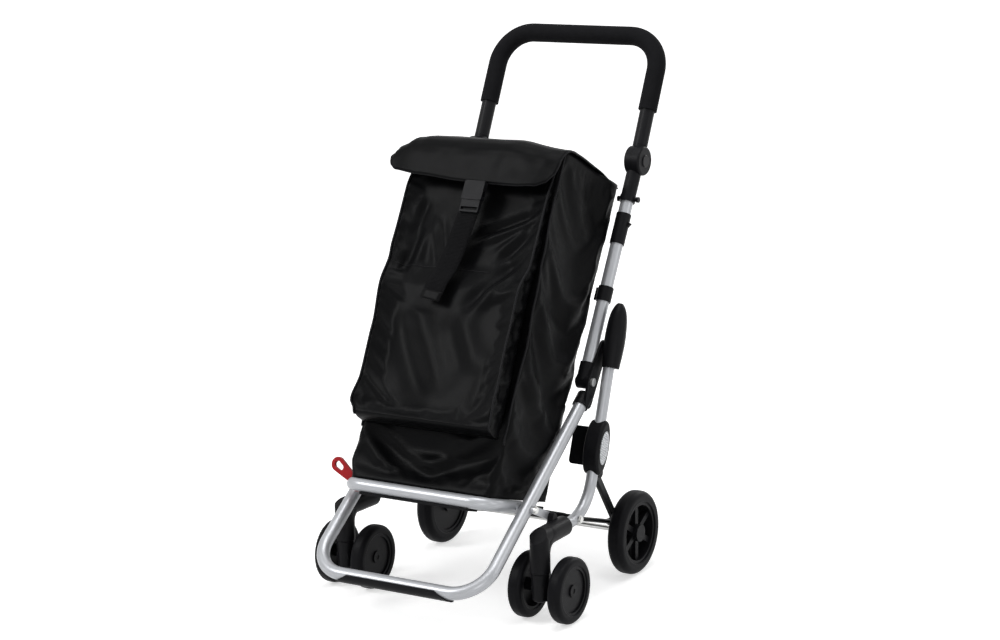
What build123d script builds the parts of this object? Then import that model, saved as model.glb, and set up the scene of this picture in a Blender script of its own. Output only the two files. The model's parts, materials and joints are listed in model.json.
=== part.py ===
"""Folding four-wheel shopping trolley with a soft bag, in millimetres.

The trolley stands on the floor at Z = 0, centred on X = 0 and Y = 0. Its front faces -Y.
Left and right pieces are mirror images, and each right piece is modelled first.
"""
import os
from math import asin, atan2, cos, radians, sin, sqrt, tan

from build123d import *

# Widths: each piece stands a step outside or inside the next, on one side
HANDLE_WIDTH = 362.0
LOOP_STEP = 4.0
SIDE_STEP = 30.0
CASTER_STEP = 3.0
REAR_STEP = 6.0
BAG_STEP = 21.0
POCKET_STEP = 14.0
LID_STEP = 16.0
DECK_STEP = 15.0

# Rear wheels
REAR_WHEEL_DIA = 165.0
REAR_WHEEL_WIDTH = 34.0
REAR_WHEEL_SHOULDER = 12.0
REAR_RIM_DIA = 122.0
REAR_SPOKES = 6
REAR_AXLE_Y = 153.5
REAR_AXLE_DIA = 10.0
REAR_BOSS_DIA = 34.0
REAR_RIM_WALL = 6.0
REAR_RIM_INSET = 3.0
REAR_SPOKE_WIDTH = 11.0
REAR_SPOKE_THICK = 9.0
REAR_SPOKE_INSET = 14.0
REAR_WEB_INSET = 6.0
REAR_WEB_THICK = 3.0
AXLE_COVER = 4.0
TYRE_FOOT_ROUND = 2.0

# Front twin-wheel casters
CASTER_WHEEL_DIA = 125.0
CASTER_WHEEL_WIDTH = 28.0
CASTER_WHEEL_SHOULDER = 9.0
CASTER_RIM_DIA = 92.0
CASTER_WHEEL_SPACING = 84.0
CASTER_STEM_Y = -201.0
CASTER_TRAIL = 31.0
CASTER_AXLE_DIA = 8.0
CASTER_RIM_WALL = 5.0
CASTER_RIM_INSET = 2.5
CASTER_WEB_INSET = 9.0
CASTER_WEB_THICK = 3.0
CASTER_BOSS_DIA = 24.0
CASTER_CAP_INSET = 3.0
CASTER_CAP_THICK = 5.0
CASTER_DIMPLE_DIA = 9.0
CASTER_DIMPLE = 1.2
STEM_DIA = 38.0
FORK_DIA = 36.0
FORK_TIP_DIA = 31.0
FORK_TIP_ROUND = 5.0
FORK_LOW_Z = 45.0
FORK_LUG_DIA = 26.0
FORK_ROOT_DIA = 32.0
FORK_ROOT_BACK = 4.0
FORK_ROOT_RISE = 8.0
SPLIT_CHAMFER = 1.0
FORK_LUG_WIDTH = 26.0
SWIVEL_Z = 99.0
SWIVEL_PIN_DIA = 14.0
SWIVEL_PIN_LENGTH = 30.0

# Front loop and side tubes
LOOP_TUBE_DIA = 25.0
SIDE_TUBE_DIA = 22.0
TUBE_WALL = 1.5
LOOP_BAR_Y = -360.0
LOOP_BAR_Z = 90.0
LOOP_RISE = 36.5
LOOP_BEND = 68.0
LOOP_STOP = 20.5
SIDE_TUBE_LEAN = 19.2
SIDE_CORNER_Y = -23.5
SIDE_TUBE_Z = 164.0
SIDE_BEND = 90.0
ELBOW_REAR_Y = -106.0
ELBOW_INNER_BEND = 30.0
KNEE_FACET = 9.0
LUG_BEHIND = 61.0
LUG_ABOVE = 6.0
LINK_THICK = 5.8
LINK_WIDTH = 14.0
TUBE_INSERT = 40.0
LEAF_LOW_Z = 429.0
LEAF_LENGTH = 125.0
LEAF_HALF_DEPTH = 20.5
LEAF_HALF_WIDTH = 20.0
LEAF_SHIFT = 4.0
LEAF_INSET = 4.8
LEAF_LUG_RISE = 38.0
LEAF_LUG_DIA = 28.0
# Shares of the leaf cap's length, depth and width, from its foot to its tip
LEAF_SECTIONS = (
    (0.0, 0.8, 0.85), (0.25, 0.95, 0.97), (0.5, 1.0, 1.0), (0.75, 0.88, 0.88), (0.92, 0.6, 0.6), (1.0, 0.25, 0.25)
)

# Skid pad
PAD_WALL = 3.0
PAD_HALF_TOP = 96.0
PAD_HALF_LOW = 130.0
PAD_GRIP = 5.0

# Strut housings, reflectors and rest plates on the side tubes
STRUT_Z = 285.0
STRUT_LENGTH = 104.0
STRUT_DEPTH = 46.0
STRUT_WIDTH = 34.0
REFLECTOR_LENGTH = 64.0
REFLECTOR_DEPTH = 30.0
REFLECTOR_THICK = 3.0
REFLECTOR_PROUD = 0.8
REST_PLATE_WIDTH = 38.0
REST_PLATE_LENGTH = 74.0
REST_PLATE_THICK = 4.0

# Rear legs and brace rods
LEG_WIDTH = 17.0
LEG_THICK = 10.0
LEG_ROUND = 3.5
LEG_EYE_DIA = 19.0
LEG_DROP = 47.0
LEG_CLEAR = 1.8
LEG_TOP_IN = 8.0
LEG_FOOT_IN = 25.0
LUG_THICK = 8.0
LUG_ROOT_DROP = 20.0
LUG_ROOT_DIA = 30.0
ROD_DIA = 9.0
ROD_BOLT_Y = -67.0
ROD_RISE = 26.0
ROD_EYE_DIA = 14.4
ROD_OFFSET = 1.5
BOLT_HEAD_DIA = 12.0
BOLT_FLANGE_DIA = 15.0
BOLT_HEAD = 4.5
BOLT_FLANGE = 1.8
EYE_PROUD = 0.6

# Upright: leaning handle tubes that fold forward about the hinge
HINGE_Y = 32.3
HINGE_Z = 407.0
HANDLE_LEAN = 28.8
HANDLE_TUBE_DIA = 25.0
LOWER_TUBE_FOOT = 16.0
UPPER_TUBE_DIA = 29.0
UPPER_TUBE_UP = 364.0
UPPER_COLLAR = 12.0
UPPER_COLLAR_WALL = 1.2
HINGE_PIN_DIA = 10.0
HINGE_HEAD_DIA = 16.0
PIN_HEAD = 4.0
KNUCKLE_DIA = 28.0
KNUCKLE_WIDTH = 24.0
KNUCKLE_UP = 36.0
CHEEK_THICK = 4.8
SOCKET_WALL = 3.0
SOCKET_LENGTH = 24.0
SLEEVE_BELOW = 25.0
SLEEVE_LENGTH = 62.0
BARB_DROP = 15.5
BARB_HEIGHT = 12.0
BARB_REACH = 6.0
BARB_THICK = 6.0
COLLAR_LOW_UP = 160.0
COLLAR_TOP_UP = 189.0
COLLAR_WALL = 2.4
COLLAR_INSET = 2.0
HOOK_RISE = 6.0
HOOK_DIA = 8.0
HOOK_HEAD_DIA = 11.0
HOOK_HEAD = 3.0
KNOB_NECK = 4.0
KNOB_LENGTH = 5.0

# Handle, tilting on a disc joint at each side
TILT_UP = 450.0
HANDLE_TILT = 3.3
TILT_DISC_DIA = 57.0
TILT_PIN_DIA = 10.0
TILT_BUTTON_DIA = 24.0
TILT_BUTTON_TRAVEL = 3.5
HUB_WIDTH = 18.0
HUB_ROUND = 4.0
DISC_ROUND = 3.0
BUTTON_DEPTH = 6.5
BUTTON_PROUD = 2.0
BUTTON_ROUND = 1.5
SPIGOT_COVER = 2.0
HANDLE_FOOT_UP = 482.0
HUB_SOCKET_UP = 500.0
HANDLE_TOP_UP = 705.0
HANDLE_BEND = 70.0
GRIP_START_UP = 553.0
GRIP_DIA = 37.0

# Bag
BAG_BACK = -8.0
BAG_FRONT = 205.0
BAG_TOP_UP = 394.0
BAG_WALL = 4.0
BAG_KINK_UP = -100.0
BAG_CORNER = 16.0
BOARD_THICK = 3.0
BAG_TUCK = 15.0
BAG_TUCK_DROP = 35.0
BOARD_MARGIN = 20.0
POCKET_DEPTH = 33.0
POCKET_MID_DEPTH = 17.0
POCKET_EDGE_DEPTH = 4.0
POCKET_LOW_UP = -172.0
POCKET_FULL_UP = -120.0
POCKET_MID_UP = 180.0
POCKET_TOP_UP = 286.0
POCKET_ROUND = 0.7
POCKET_WALL = 3.0
POCKET_SLOT = 15.0
POCKET_SLOT_DROP = 4.0
POCKET_SLOT_MARGIN = 24.0
LID_BACK = 21.0
LID_FRONT = 236.0
LID_THICK = 5.0
LID_DROP = 105.0
LID_CORNER = 28.0
STRAP_WIDTH = 38.0
STRAP_X = -8.0
STRAP_LOW_UP = 60.0
STRAP_THICK = 2.5
BUCKLE_WIDTH = 44.0
BUCKLE_THICK = 12.0
BUCKLE_SOCKET_LENGTH = 38.0
BUCKLE_PLUG_LENGTH = 24.0
BUCKLE_WALL = 2.5
BUCKLE_ROUND = 4.0
BUCKLE_LAP = 6.0
BUCKLE_WINDOW = 12.0
BUCKLE_WINDOW_UP = 8.0
PLUG_INSET = 2.0
PLUG_THIN = 1.5
PLUG_SLOT = 6.0
PLUG_BAR = 4.0
PRONG_LENGTH = 22.0
PRONG_WIDTH = 5.2
PRONG_ROOM = 4.0
TAG_MARGIN = 1.0

# Platform
PLATFORM_BAR_Y = -283.0
PLATFORM_BAR_Z = 241.0
PLATFORM_TUBE_DIA = 24.0
PLATFORM_BEND = 38.0
PLATFORM_GAP = 4.5
PLATFORM_TAIL = 25.0
CROSSBAR_DIA = 16.0
DECK_THICK = 5.0
DECK_FRONT = 28.5
DECK_SINK = 1.0
RIB_TAIL = 24.0
RIB_THICK = 3.0
BOSS_DIA = 16.0
DECK_RIBS = 5

# Latch lever: a ring on the platform's left arm, a head with a finger hole, and a toe
LEVER_THICK = 6.0
LEVER_WALL = 2.5
LEVER_SET = 2.0
LEVER_STEM = 14.0
LEVER_HEAD = 28.0
LEVER_HEAD_OUT = 50.0
LEVER_HEAD_UP = 31.0
LEVER_TOE = 10.0
LEVER_TOE_IN = 26.0
LEVER_TOE_DOWN = 14.0
LEVER_HOLE = 13.0
LEVER_HOLE_RUN = 10.0
COLLAR_THICK = 4.0

# Fits: a running fit, a seat within one body and a gap between bodies
SLIP = 0.05
SEAT = 0.1
GAP = 0.4
# How far a cutter runs past what it cuts
PAST = 1.0

half_handle = HANDLE_WIDTH / 2
half_loop = half_handle + LOOP_STEP
half_side = half_loop + SIDE_STEP
half_caster = half_side + CASTER_STEP
half_rear = half_side + REAR_STEP
half_bag = half_handle - BAG_STEP
half_pocket = half_bag - POCKET_STEP
half_lid = half_bag + LID_STEP
loop_r = LOOP_TUBE_DIA / 2
side_r = SIDE_TUBE_DIA / 2
handle_r = HANDLE_TUBE_DIA / 2
upper_r = UPPER_TUBE_DIA / 2
platform_r = PLATFORM_TUBE_DIA / 2
crossbar_r = CROSSBAR_DIA / 2
rear_axle_z = REAR_WHEEL_DIA / 2
caster_axle_z = CASTER_WHEEL_DIA / 2
caster_axle_y = CASTER_STEM_Y + CASTER_TRAIL

lean = radians(HANDLE_LEAN)
UP = Vector(0, sin(lean), cos(lean))
AHEAD = Vector(0, -cos(lean), sin(lean))
HINGE = Vector(0, HINGE_Y, HINGE_Z)

side_lean = radians(SIDE_TUBE_LEAN)
SIDE_UP = Vector(0, sin(side_lean), cos(side_lean))
SIDE_BACK = Vector(0, cos(side_lean), -sin(side_lean))
SIDE_CORNER = Vector(half_side, SIDE_CORNER_Y, SIDE_TUBE_Z)

loop_rise = radians(LOOP_RISE)
LOOP_UP = Vector(0, cos(loop_rise), sin(loop_rise))
LOOP_BAR = Vector(0, LOOP_BAR_Y, LOOP_BAR_Z)

# The crossbar and the brace rods share a bolt through each side tube, inside its bend
side_bend_y = SIDE_CORNER_Y - SIDE_BEND * tan((radians(90) - side_lean) / 2)
rod_bolt_z = SIDE_TUBE_Z + SIDE_BEND - sqrt(SIDE_BEND**2 - (ROD_BOLT_Y - side_bend_y) ** 2)
ROD_BOLT = Vector(0, ROD_BOLT_Y, rod_bolt_z)

# The deck's underside lies on the crossbar, a little below the axes of the platform's tubes
bar_to_crossbar = ROD_BOLT - Vector(0, PLATFORM_BAR_Y, PLATFORM_BAR_Z)
deck_lift = asin((crossbar_r + SEAT + DECK_SINK) / bar_to_crossbar.length)
platform_slope = atan2(bar_to_crossbar.Z, bar_to_crossbar.Y) + deck_lift
PLATFORM_BACK = Vector(0, cos(platform_slope), sin(platform_slope))
PLATFORM_UP = Vector(0, -sin(platform_slope), cos(platform_slope))
PLATFORM_BAR = Vector(0, PLATFORM_BAR_Y, PLATFORM_BAR_Z)
deck_end = bar_to_crossbar.dot(PLATFORM_BACK) + crossbar_r


def upright(x, up, ahead):
    """A point of the upright: across, up along the handle and ahead of it."""
    return Vector(x, 0, 0) + HINGE + UP * up + AHEAD * ahead


def on_platform(x, back, above):
    """A point of the platform: across, behind its bar and above its tube axes."""
    return Vector(x, 0, 0) + PLATFORM_BAR + PLATFORM_BACK * back + PLATFORM_UP * above


def along(start, end, radius):
    """A round bar between two points."""
    run = end - start
    bottom = (Align.CENTER, Align.CENTER, Align.MIN)
    return Plane(origin=start, z_dir=run) * Cylinder(radius, run.length, align=bottom)


def across(place, x_start, x_end, radius):
    """A round bar parallel to X, level with a place on the side view."""
    return along(Vector(x_start, place.Y, place.Z), Vector(x_end, place.Y, place.Z), radius)


def bent_path(points, bend):
    return FilletPolyline(*points, radius=bend)


def bent_bar(path, radius):
    return sweep(Plane(origin=path @ 0, z_dir=path % 0) * Circle(radius), path=path)


def bent_tube(path, outer_r, inner_r):
    ring = Circle(outer_r) - Circle(inner_r)
    return sweep(Plane(origin=path @ 0, z_dir=path % 0) * ring, path=path)


def straight_tube(start, end, outer_r, inner_r):
    return along(start, end, outer_r) - along(start, end, inner_r)


def side_face(outline, x):
    return Plane(origin=(x, 0, 0), x_dir=(0, 1, 0), z_dir=(1, 0, 0)) * outline


def side_profile(places, x_start, x_end):
    """A plate whose side outline has the given corners, between two X planes."""
    outline = make_face(Polyline(*[(place.Y, place.Z) for place in places], close=True))
    return extrude(side_face(outline, x_start), x_end - x_start)


def side_hull(circles, x_start, x_end):
    """A plate whose side outline wraps round circles, each a place and a radius."""
    edges = []
    for place, radius in circles:
        edges += (Pos(place.Y, place.Z) * Circle(radius)).edges()
    return extrude(side_face(make_hull(edges), x_start), x_end - x_start)


def upright_block(x_start, x_end, up_start, up_end, ahead_start, ahead_end):
    """A block square to the upright."""
    corners = [
        upright(0, up_start, ahead_start),
        upright(0, up_end, ahead_start),
        upright(0, up_end, ahead_end),
        upright(0, up_start, ahead_end),
    ]
    return side_profile(corners, x_start, x_end)


def left_of(piece):
    """The left-hand twin of a right-hand piece."""
    return mirror(piece, about=Plane.YZ)


parts = {}


def add_pair(name, piece):
    parts[name + "_right"] = piece
    parts[name + "_left"] = left_of(piece)


def add_twins(name, *pieces):
    """One node with the right-hand pieces and their left-hand twins."""
    parts[name] = Compound(children=[twin for piece in pieces for twin in (piece, left_of(piece))])


# Side tubes: from the leaf cap down the lean, round the bend and forward into the elbow
leaf_low = SIDE_CORNER + SIDE_UP * ((LEAF_LOW_Z - SIDE_TUBE_Z) / cos(side_lean))
side_top = leaf_low + SIDE_UP * (LEAF_LENGTH / 2)
side_front = Vector(half_side, ELBOW_REAR_Y - TUBE_INSERT, SIDE_TUBE_Z)
side_path = bent_path([side_top, SIDE_CORNER, side_front], SIDE_BEND)
add_pair("side_tube", bent_tube(side_path, side_r, side_r - TUBE_WALL))

# Leaf caps on the tops of the side tubes, flat on the inner side
leaf_in = half_side - side_r - LEAF_INSET


def leaf_cap():
    faces = []
    middle = leaf_low + Vector(LEAF_SHIFT, 0, 0)
    for share, depth, width in LEAF_SECTIONS:
        plane = Plane(origin=middle + SIDE_UP * (LEAF_LENGTH * share), x_dir=(1, 0, 0), z_dir=SIDE_UP)
        faces.append(plane * Ellipse(LEAF_HALF_WIDTH * width, LEAF_HALF_DEPTH * depth))
    inside = Pos(leaf_in - LEAF_LENGTH, leaf_low.Y, leaf_low.Z) * Box(*[LEAF_LENGTH * 2] * 3)
    bore = along(leaf_low - SIDE_UP, side_top + SIDE_UP * SEAT, side_r + SEAT)
    return loft(faces) - inside - bore


add_twins("leaf_caps", leaf_cap())

# Front loop: one bent tube from hinge to hinge round the front
loop_top = LOOP_UP * ((HINGE - LOOP_BAR).dot(LOOP_UP) - LOOP_STOP)
right_bar = LOOP_BAR + Vector(half_loop, 0, 0)
left_bar = LOOP_BAR - Vector(half_loop, 0, 0)
loop_path = bent_path([right_bar + loop_top, right_bar, left_bar, left_bar + loop_top], LOOP_BEND)
parts["front_loop"] = bent_tube(loop_path, loop_r, loop_r - TUBE_WALL)


# Skid pad: a channel that hugs the loop's bar from below, with slanted ends
def skid_pad():
    pad_r = loop_r + SEAT + PAD_WALL
    channel = across(LOOP_BAR, -PAD_HALF_LOW, PAD_HALF_LOW, pad_r) - bent_bar(loop_path, loop_r + SEAT)
    top_z = LOOP_BAR_Z + PAD_GRIP
    low_z = LOOP_BAR_Z - pad_r - PAST
    outline = make_face(
        Polyline(
            (-PAD_HALF_TOP, top_z), (PAD_HALF_TOP, top_z), (PAD_HALF_LOW, low_z), (-PAD_HALF_LOW, low_z), close=True
        )
    )
    front = Plane(origin=(0, LOOP_BAR_Y, 0), x_dir=(1, 0, 0), z_dir=(0, -1, 0)) * outline
    return channel & extrude(front, pad_r * 2, both=True)


parts["skid_pad"] = skid_pad()

# Hinge bases: cheek plate, socket for the loop's end and a lug on the leaf cap
cheek_out = leaf_in
cheek_in = cheek_out - CHEEK_THICK
loop_end = right_bar + loop_top
leaf_lug = leaf_low + SIDE_UP * LEAF_LUG_RISE


def hinge_base():
    socket_low = loop_end - LOOP_UP * SOCKET_LENGTH
    socket = along(socket_low, loop_end + LOOP_UP * SOCKET_WALL, loop_r + SOCKET_WALL)
    socket_mid = (socket_low + loop_end) * 0.5
    cheek = side_hull(
        [(HINGE, KNUCKLE_DIA / 2), (socket_mid, loop_r), (leaf_lug, LEAF_LUG_DIA / 2)],
        cheek_in,
        cheek_out,
    )
    bore = along(socket_low - LOOP_UP, loop_end + LOOP_UP * SEAT, loop_r + SEAT)
    pin = across(HINGE, cheek_in - PAST, cheek_out + PAST, HINGE_PIN_DIA / 2 + SLIP)
    return socket + cheek - bore - pin


add_pair("hinge_base", hinge_base())

# Hinge pins: headed on the inside and riveted over outside the cheek
knuckle_out = cheek_in - GAP
knuckle_in = knuckle_out - KNUCKLE_WIDTH


def hinge_pin():
    shank = across(HINGE, knuckle_in - GAP, cheek_out + PIN_HEAD, HINGE_PIN_DIA / 2)
    head = across(HINGE, knuckle_in - GAP - PIN_HEAD, knuckle_in - GAP, HINGE_HEAD_DIA / 2)
    rivet = across(HINGE, cheek_out + SLIP, cheek_out + PIN_HEAD, HINGE_HEAD_DIA / 2)
    return shank + head + rivet


add_twins("hinge_pins", hinge_pin())

# Link bars from the front loop to a lug on each elbow, outside the loop's legs
loop_run = (PLATFORM_BAR - LOOP_BAR).dot(PLATFORM_UP) / LOOP_UP.dot(PLATFORM_UP)
LOOP_BOLT = LOOP_BAR + LOOP_UP * loop_run
link_in = half_loop + loop_r + SEAT
link_out = link_in + LINK_THICK
elbow_r = STEM_DIA / 2
ELBOW_LUG = Vector(0, CASTER_STEM_Y + LUG_BEHIND, SIDE_TUBE_Z + elbow_r + LUG_ABOVE)
link = side_hull([(LOOP_BOLT, LINK_WIDTH / 2), (ELBOW_LUG, LINK_WIDTH / 2)], link_in, link_out)
add_twins("frame_links", link)


# Caster elbows: mitred knee with a slanted oval facet, a soft inner bend, a lug and two bores
def caster_elbow():
    knee = Vector(half_caster, CASTER_STEM_Y, SIDE_TUBE_Z)
    stem_foot = Vector(half_caster, CASTER_STEM_Y, SWIVEL_Z)
    barrel_end = Vector(half_side, ELBOW_REAR_Y, SIDE_TUBE_Z)
    reach = Vector(0, 0, STEM_DIA)
    column = along(stem_foot, knee + reach, elbow_r)
    column = chamfer(column.faces().sort_by(Axis.Z)[0].edges(), SPLIT_CHAMFER)
    barrel = along(knee + (knee - barrel_end).normalized() * STEM_DIA, barrel_end, elbow_r)
    barrel = fillet(barrel.faces().sort_by(Axis.Y)[-1].edges(), elbow_r / 4)
    ahead_of_mitre = Plane(origin=knee, x_dir=(1, 0, 0), z_dir=(0, 1, 1))
    half_space = Box(STEM_DIA * 6, STEM_DIA * 6, STEM_DIA * 6)
    barrel = barrel & (ahead_of_mitre * Pos(0, 0, STEM_DIA * 3) * half_space)
    column = column & (ahead_of_mitre * Pos(0, 0, -STEM_DIA * 3) * half_space)
    bend_run = ELBOW_INNER_BEND + PAST
    bend_path = bent_path(
        [knee - Vector(0, 0, bend_run), knee, knee + Vector(0, bend_run, 0)], ELBOW_INNER_BEND
    )
    corner = Plane(origin=knee, x_dir=(1, 0, 0), z_dir=(0, -1, 1))
    facet = corner * Pos(0, 0, KNEE_FACET + STEM_DIA * 3) * half_space
    lug_root = ELBOW_LUG - Vector(0, 0, elbow_r)
    lug = side_hull([(ELBOW_LUG, LINK_WIDTH / 2), (lug_root, LINK_WIDTH)], link_out + SEAT, half_side)
    socket = along(side_front - Vector(0, SEAT, 0), barrel_end + Vector(0, PAST, 0), side_r + SEAT)
    pin_top = stem_foot + Vector(0, 0, SWIVEL_PIN_LENGTH + GAP)
    pin_bore = along(stem_foot - Vector(0, 0, PAST), pin_top, SWIVEL_PIN_DIA / 2 + SLIP)
    shell = column + barrel + bent_bar(bend_path, elbow_r - SEAT) - facet
    return shell + lug - socket - pin_bore


add_pair("caster_elbow", caster_elbow())

# Strut housings on the side tubes, with a recess for the reflector and a lug for the rear leg
STRUT = SIDE_CORNER + SIDE_UP * ((STRUT_Z - SIDE_TUBE_Z) / cos(side_lean))
strut_in = half_side - STRUT_WIDTH / 2
strut_out = half_side + STRUT_WIDTH / 2
leg_back = side_r + LEG_EYE_DIA / 2 + LEG_CLEAR
leg_top = STRUT - SIDE_UP * LEG_DROP + SIDE_BACK * leg_back - Vector(LEG_TOP_IN, 0, 0)
eye_half = LEG_THICK / 2 + EYE_PROUD
lug_in = leg_top.X + eye_half + SEAT
lug_out = lug_in + LUG_THICK


def strut_plane(x):
    """Looks at a strut housing from outside: local x to the back, local y up the tube."""
    return Plane(origin=(x, STRUT.Y, STRUT.Z), x_dir=SIDE_BACK, z_dir=(1, 0, 0))


def strut_housing():
    outline = Ellipse(STRUT_DEPTH / 2, STRUT_LENGTH / 2)
    body = extrude(strut_plane(strut_in) * outline, STRUT_WIDTH)
    body = fillet(body.edges(), STRUT_WIDTH / 6)
    lug_root = STRUT - SIDE_UP * LUG_ROOT_DROP
    lug = side_hull([(lug_root, LUG_ROOT_DIA / 2), (leg_top, LEG_EYE_DIA / 2)], lug_in, lug_out)
    recess_face = strut_plane(strut_out) * Ellipse(REFLECTOR_DEPTH / 2, REFLECTOR_LENGTH / 2)
    recess = extrude(recess_face, REFLECTOR_PROUD - REFLECTOR_THICK)
    bore = along(STRUT - SIDE_UP * STRUT_LENGTH, STRUT + SIDE_UP * STRUT_LENGTH, side_r + SEAT)
    return body + lug - recess - bore


add_twins("strut_housings", strut_housing())

reflector_face = strut_plane(strut_out + REFLECTOR_PROUD - REFLECTOR_THICK) * Ellipse(
    REFLECTOR_DEPTH / 2 - SEAT, REFLECTOR_LENGTH / 2 - SEAT
)
add_twins("reflectors", extrude(reflector_face, REFLECTOR_THICK))

plate_mid = strut_in - SEAT - REST_PLATE_WIDTH / 2
plate_plane = Plane(origin=(plate_mid, STRUT.Y, STRUT.Z), x_dir=(1, 0, 0), z_dir=SIDE_BACK)
rest_plate = extrude(
    plate_plane * RectangleRounded(REST_PLATE_WIDTH, REST_PLATE_LENGTH, REST_PLATE_THICK * 2),
    REST_PLATE_THICK,
)
add_twins("bag_rest_plates", rest_plate)

# Rear legs: flattened tubes that slant in from the housings to the axle, with a boss up to the wheel
REAR_AXLE = Vector(0, REAR_AXLE_Y, rear_axle_z)
wheel_in = half_rear - REAR_WHEEL_WIDTH / 2
axle_r = REAR_AXLE_DIA / 2
leg_foot = REAR_AXLE + Vector(half_side - LEG_FOOT_IN, 0, 0)
leg_run = leg_foot - leg_top


def rear_leg():
    plane = Plane(origin=leg_top, x_dir=(1, 0, 0), z_dir=leg_run)
    body = extrude(plane * RectangleRounded(LEG_THICK, LEG_WIDTH, LEG_ROUND), leg_run.length)
    for end in (leg_top, leg_foot):
        body += across(end, end.X - eye_half, end.X + eye_half, LEG_EYE_DIA / 2)
    body += across(leg_foot, leg_foot.X, wheel_in - GAP, LEG_WIDTH / 2)
    return body - across(REAR_AXLE, leg_foot.X - LEG_EYE_DIA, wheel_in, axle_r + SEAT)


add_twins("rear_legs", rear_leg())
axle_end = half_rear + REAR_WHEEL_WIDTH / 2 - AXLE_COVER
parts["rear_axle"] = across(REAR_AXLE, -axle_end, axle_end, axle_r)

# Brace rods: from a bolt on each side tube to the rear leg, with an eye at each end
rod_foot = leg_foot - leg_run.normalized() * ROD_RISE
rod_x = half_side - side_r - ROD_DIA / 2 - ROD_OFFSET
eye_in = rod_x - ROD_DIA / 2 - EYE_PROUD
foot_eye_out = rod_foot.X - eye_half - SEAT
rod_end_x = foot_eye_out - ROD_DIA / 2 - EYE_PROUD
foot_eye_in = rod_end_x - ROD_DIA / 2 - EYE_PROUD


def brace_rod():
    start = Vector(rod_x, ROD_BOLT.Y, ROD_BOLT.Z)
    end = Vector(rod_end_x, rod_foot.Y, rod_foot.Z)
    front_eye = across(ROD_BOLT, eye_in, half_side - side_r - SEAT, ROD_EYE_DIA / 2)
    rear_eye = across(rod_foot, foot_eye_in, foot_eye_out, ROD_EYE_DIA / 2)
    return along(start, end, ROD_DIA / 2) + front_eye + rear_eye


add_twins("brace_rods", brace_rod())

# Rear crossbar between the brace rods' front eyes
crossbar_end = eye_in - SEAT
parts["rear_crossbar"] = across(ROD_BOLT, -crossbar_end, crossbar_end, crossbar_r)

# Platform loop: a bar with rounded corners and short arms bolted to the front loop's legs
platform_half = half_loop - loop_r - PLATFORM_GAP - platform_r
arm_end = (LOOP_BOLT - PLATFORM_BAR).dot(PLATFORM_BACK) + PLATFORM_TAIL
platform_path = bent_path(
    [
        on_platform(platform_half, arm_end, 0),
        on_platform(platform_half, 0, 0),
        on_platform(-platform_half, 0, 0),
        on_platform(-platform_half, arm_end, 0),
    ],
    PLATFORM_BEND,
)


def platform_loop():
    boss = across(LOOP_BOLT, platform_half + platform_r - PAST, half_loop - loop_r - SEAT, BOSS_DIA / 2)
    core = bent_bar(platform_path, platform_r - TUBE_WALL)
    body = bent_bar(platform_path, platform_r) + boss + left_of(boss)
    return body - core


parts["platform_loop"] = platform_loop()


# Deck: a ribbed panel from the bar back to the crossbar, with a lip under the bar
def platform_deck():
    half = platform_half - DECK_STEP
    front = DECK_FRONT
    top = DECK_THICK - DECK_SINK
    lip_top = -platform_r - SEAT
    lip_low = lip_top - DECK_THICK
    panel = side_profile(
        [on_platform(0, back, above) for back, above in
         ((front, -DECK_SINK), (deck_end, -DECK_SINK), (deck_end, top), (front, top))],
        -half,
        half,
    )
    lip_half = platform_half - PLATFORM_BEND
    lip = side_profile(
        [on_platform(0, back, above) for back, above in
         ((-platform_r / 2, lip_low), (front + DECK_THICK, lip_low), (front + DECK_THICK, top),
          (front, top), (front, lip_top), (-platform_r / 2, lip_top))],
        -lip_half,
        lip_half,
    )
    body = panel + lip
    rib_end = deck_end - RIB_TAIL
    for index in range(DECK_RIBS):
        x = -lip_half + index * 2 * lip_half / (DECK_RIBS - 1)
        low = lip_low + DECK_THICK / 2
        rib = side_profile(
            [on_platform(0, back, above) for back, above in
             ((front, low), (rib_end - platform_r, low), (rib_end, -DECK_SINK), (front, -DECK_SINK))],
            x - RIB_THICK / 2,
            x + RIB_THICK / 2,
        )
        body += rib
    return body


parts["platform_deck"] = platform_deck()

# Latch lever: turns on the platform's left arm, just behind the bend, and a collar keeps it there
lever_front = PLATFORM_BEND + LEVER_SET
lever_back = lever_front + LEVER_THICK
lever_ring_r = platform_r + SLIP + LEVER_WALL


def on_left_arm(back):
    return on_platform(-platform_half, back, 0)


def lever_hull(circles, back_start, back_end):
    """A plate square to the left arm that wraps round circles: out from the arm, up, and a radius."""
    edges = []
    for out, up, radius in circles:
        edges += (Pos(out, up) * Circle(radius)).edges()
    plane = Plane(origin=on_left_arm(back_start), x_dir=(-1, 0, 0), z_dir=PLATFORM_BACK)
    return extrude(plane * make_hull(edges), back_end - back_start)


def lock_lever():
    root = (0, 0, LEVER_STEM / 2)
    head = (LEVER_HEAD_OUT, LEVER_HEAD_UP, LEVER_HEAD / 2)
    toe = (-LEVER_TOE_IN, -LEVER_TOE_DOWN, LEVER_TOE / 2)
    body = along(on_left_arm(lever_front), on_left_arm(lever_back), lever_ring_r)
    body += lever_hull([root, head], lever_front, lever_back)
    body += lever_hull([root, toe], lever_front, lever_back)
    reach = sqrt(LEVER_HEAD_OUT**2 + LEVER_HEAD_UP**2)
    hole_share = 1 - LEVER_HOLE_RUN / reach
    hole_root = (LEVER_HEAD_OUT * hole_share, LEVER_HEAD_UP * hole_share, LEVER_HOLE / 2 * hole_share)
    hole_tip = (LEVER_HEAD_OUT, LEVER_HEAD_UP, LEVER_HOLE / 2)
    hole = lever_hull([hole_root, hole_tip], lever_front - PAST, lever_back + PAST)
    bore = along(on_left_arm(lever_front - PAST), on_left_arm(lever_back + PAST), platform_r + SLIP)
    return body - hole - bore


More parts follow.
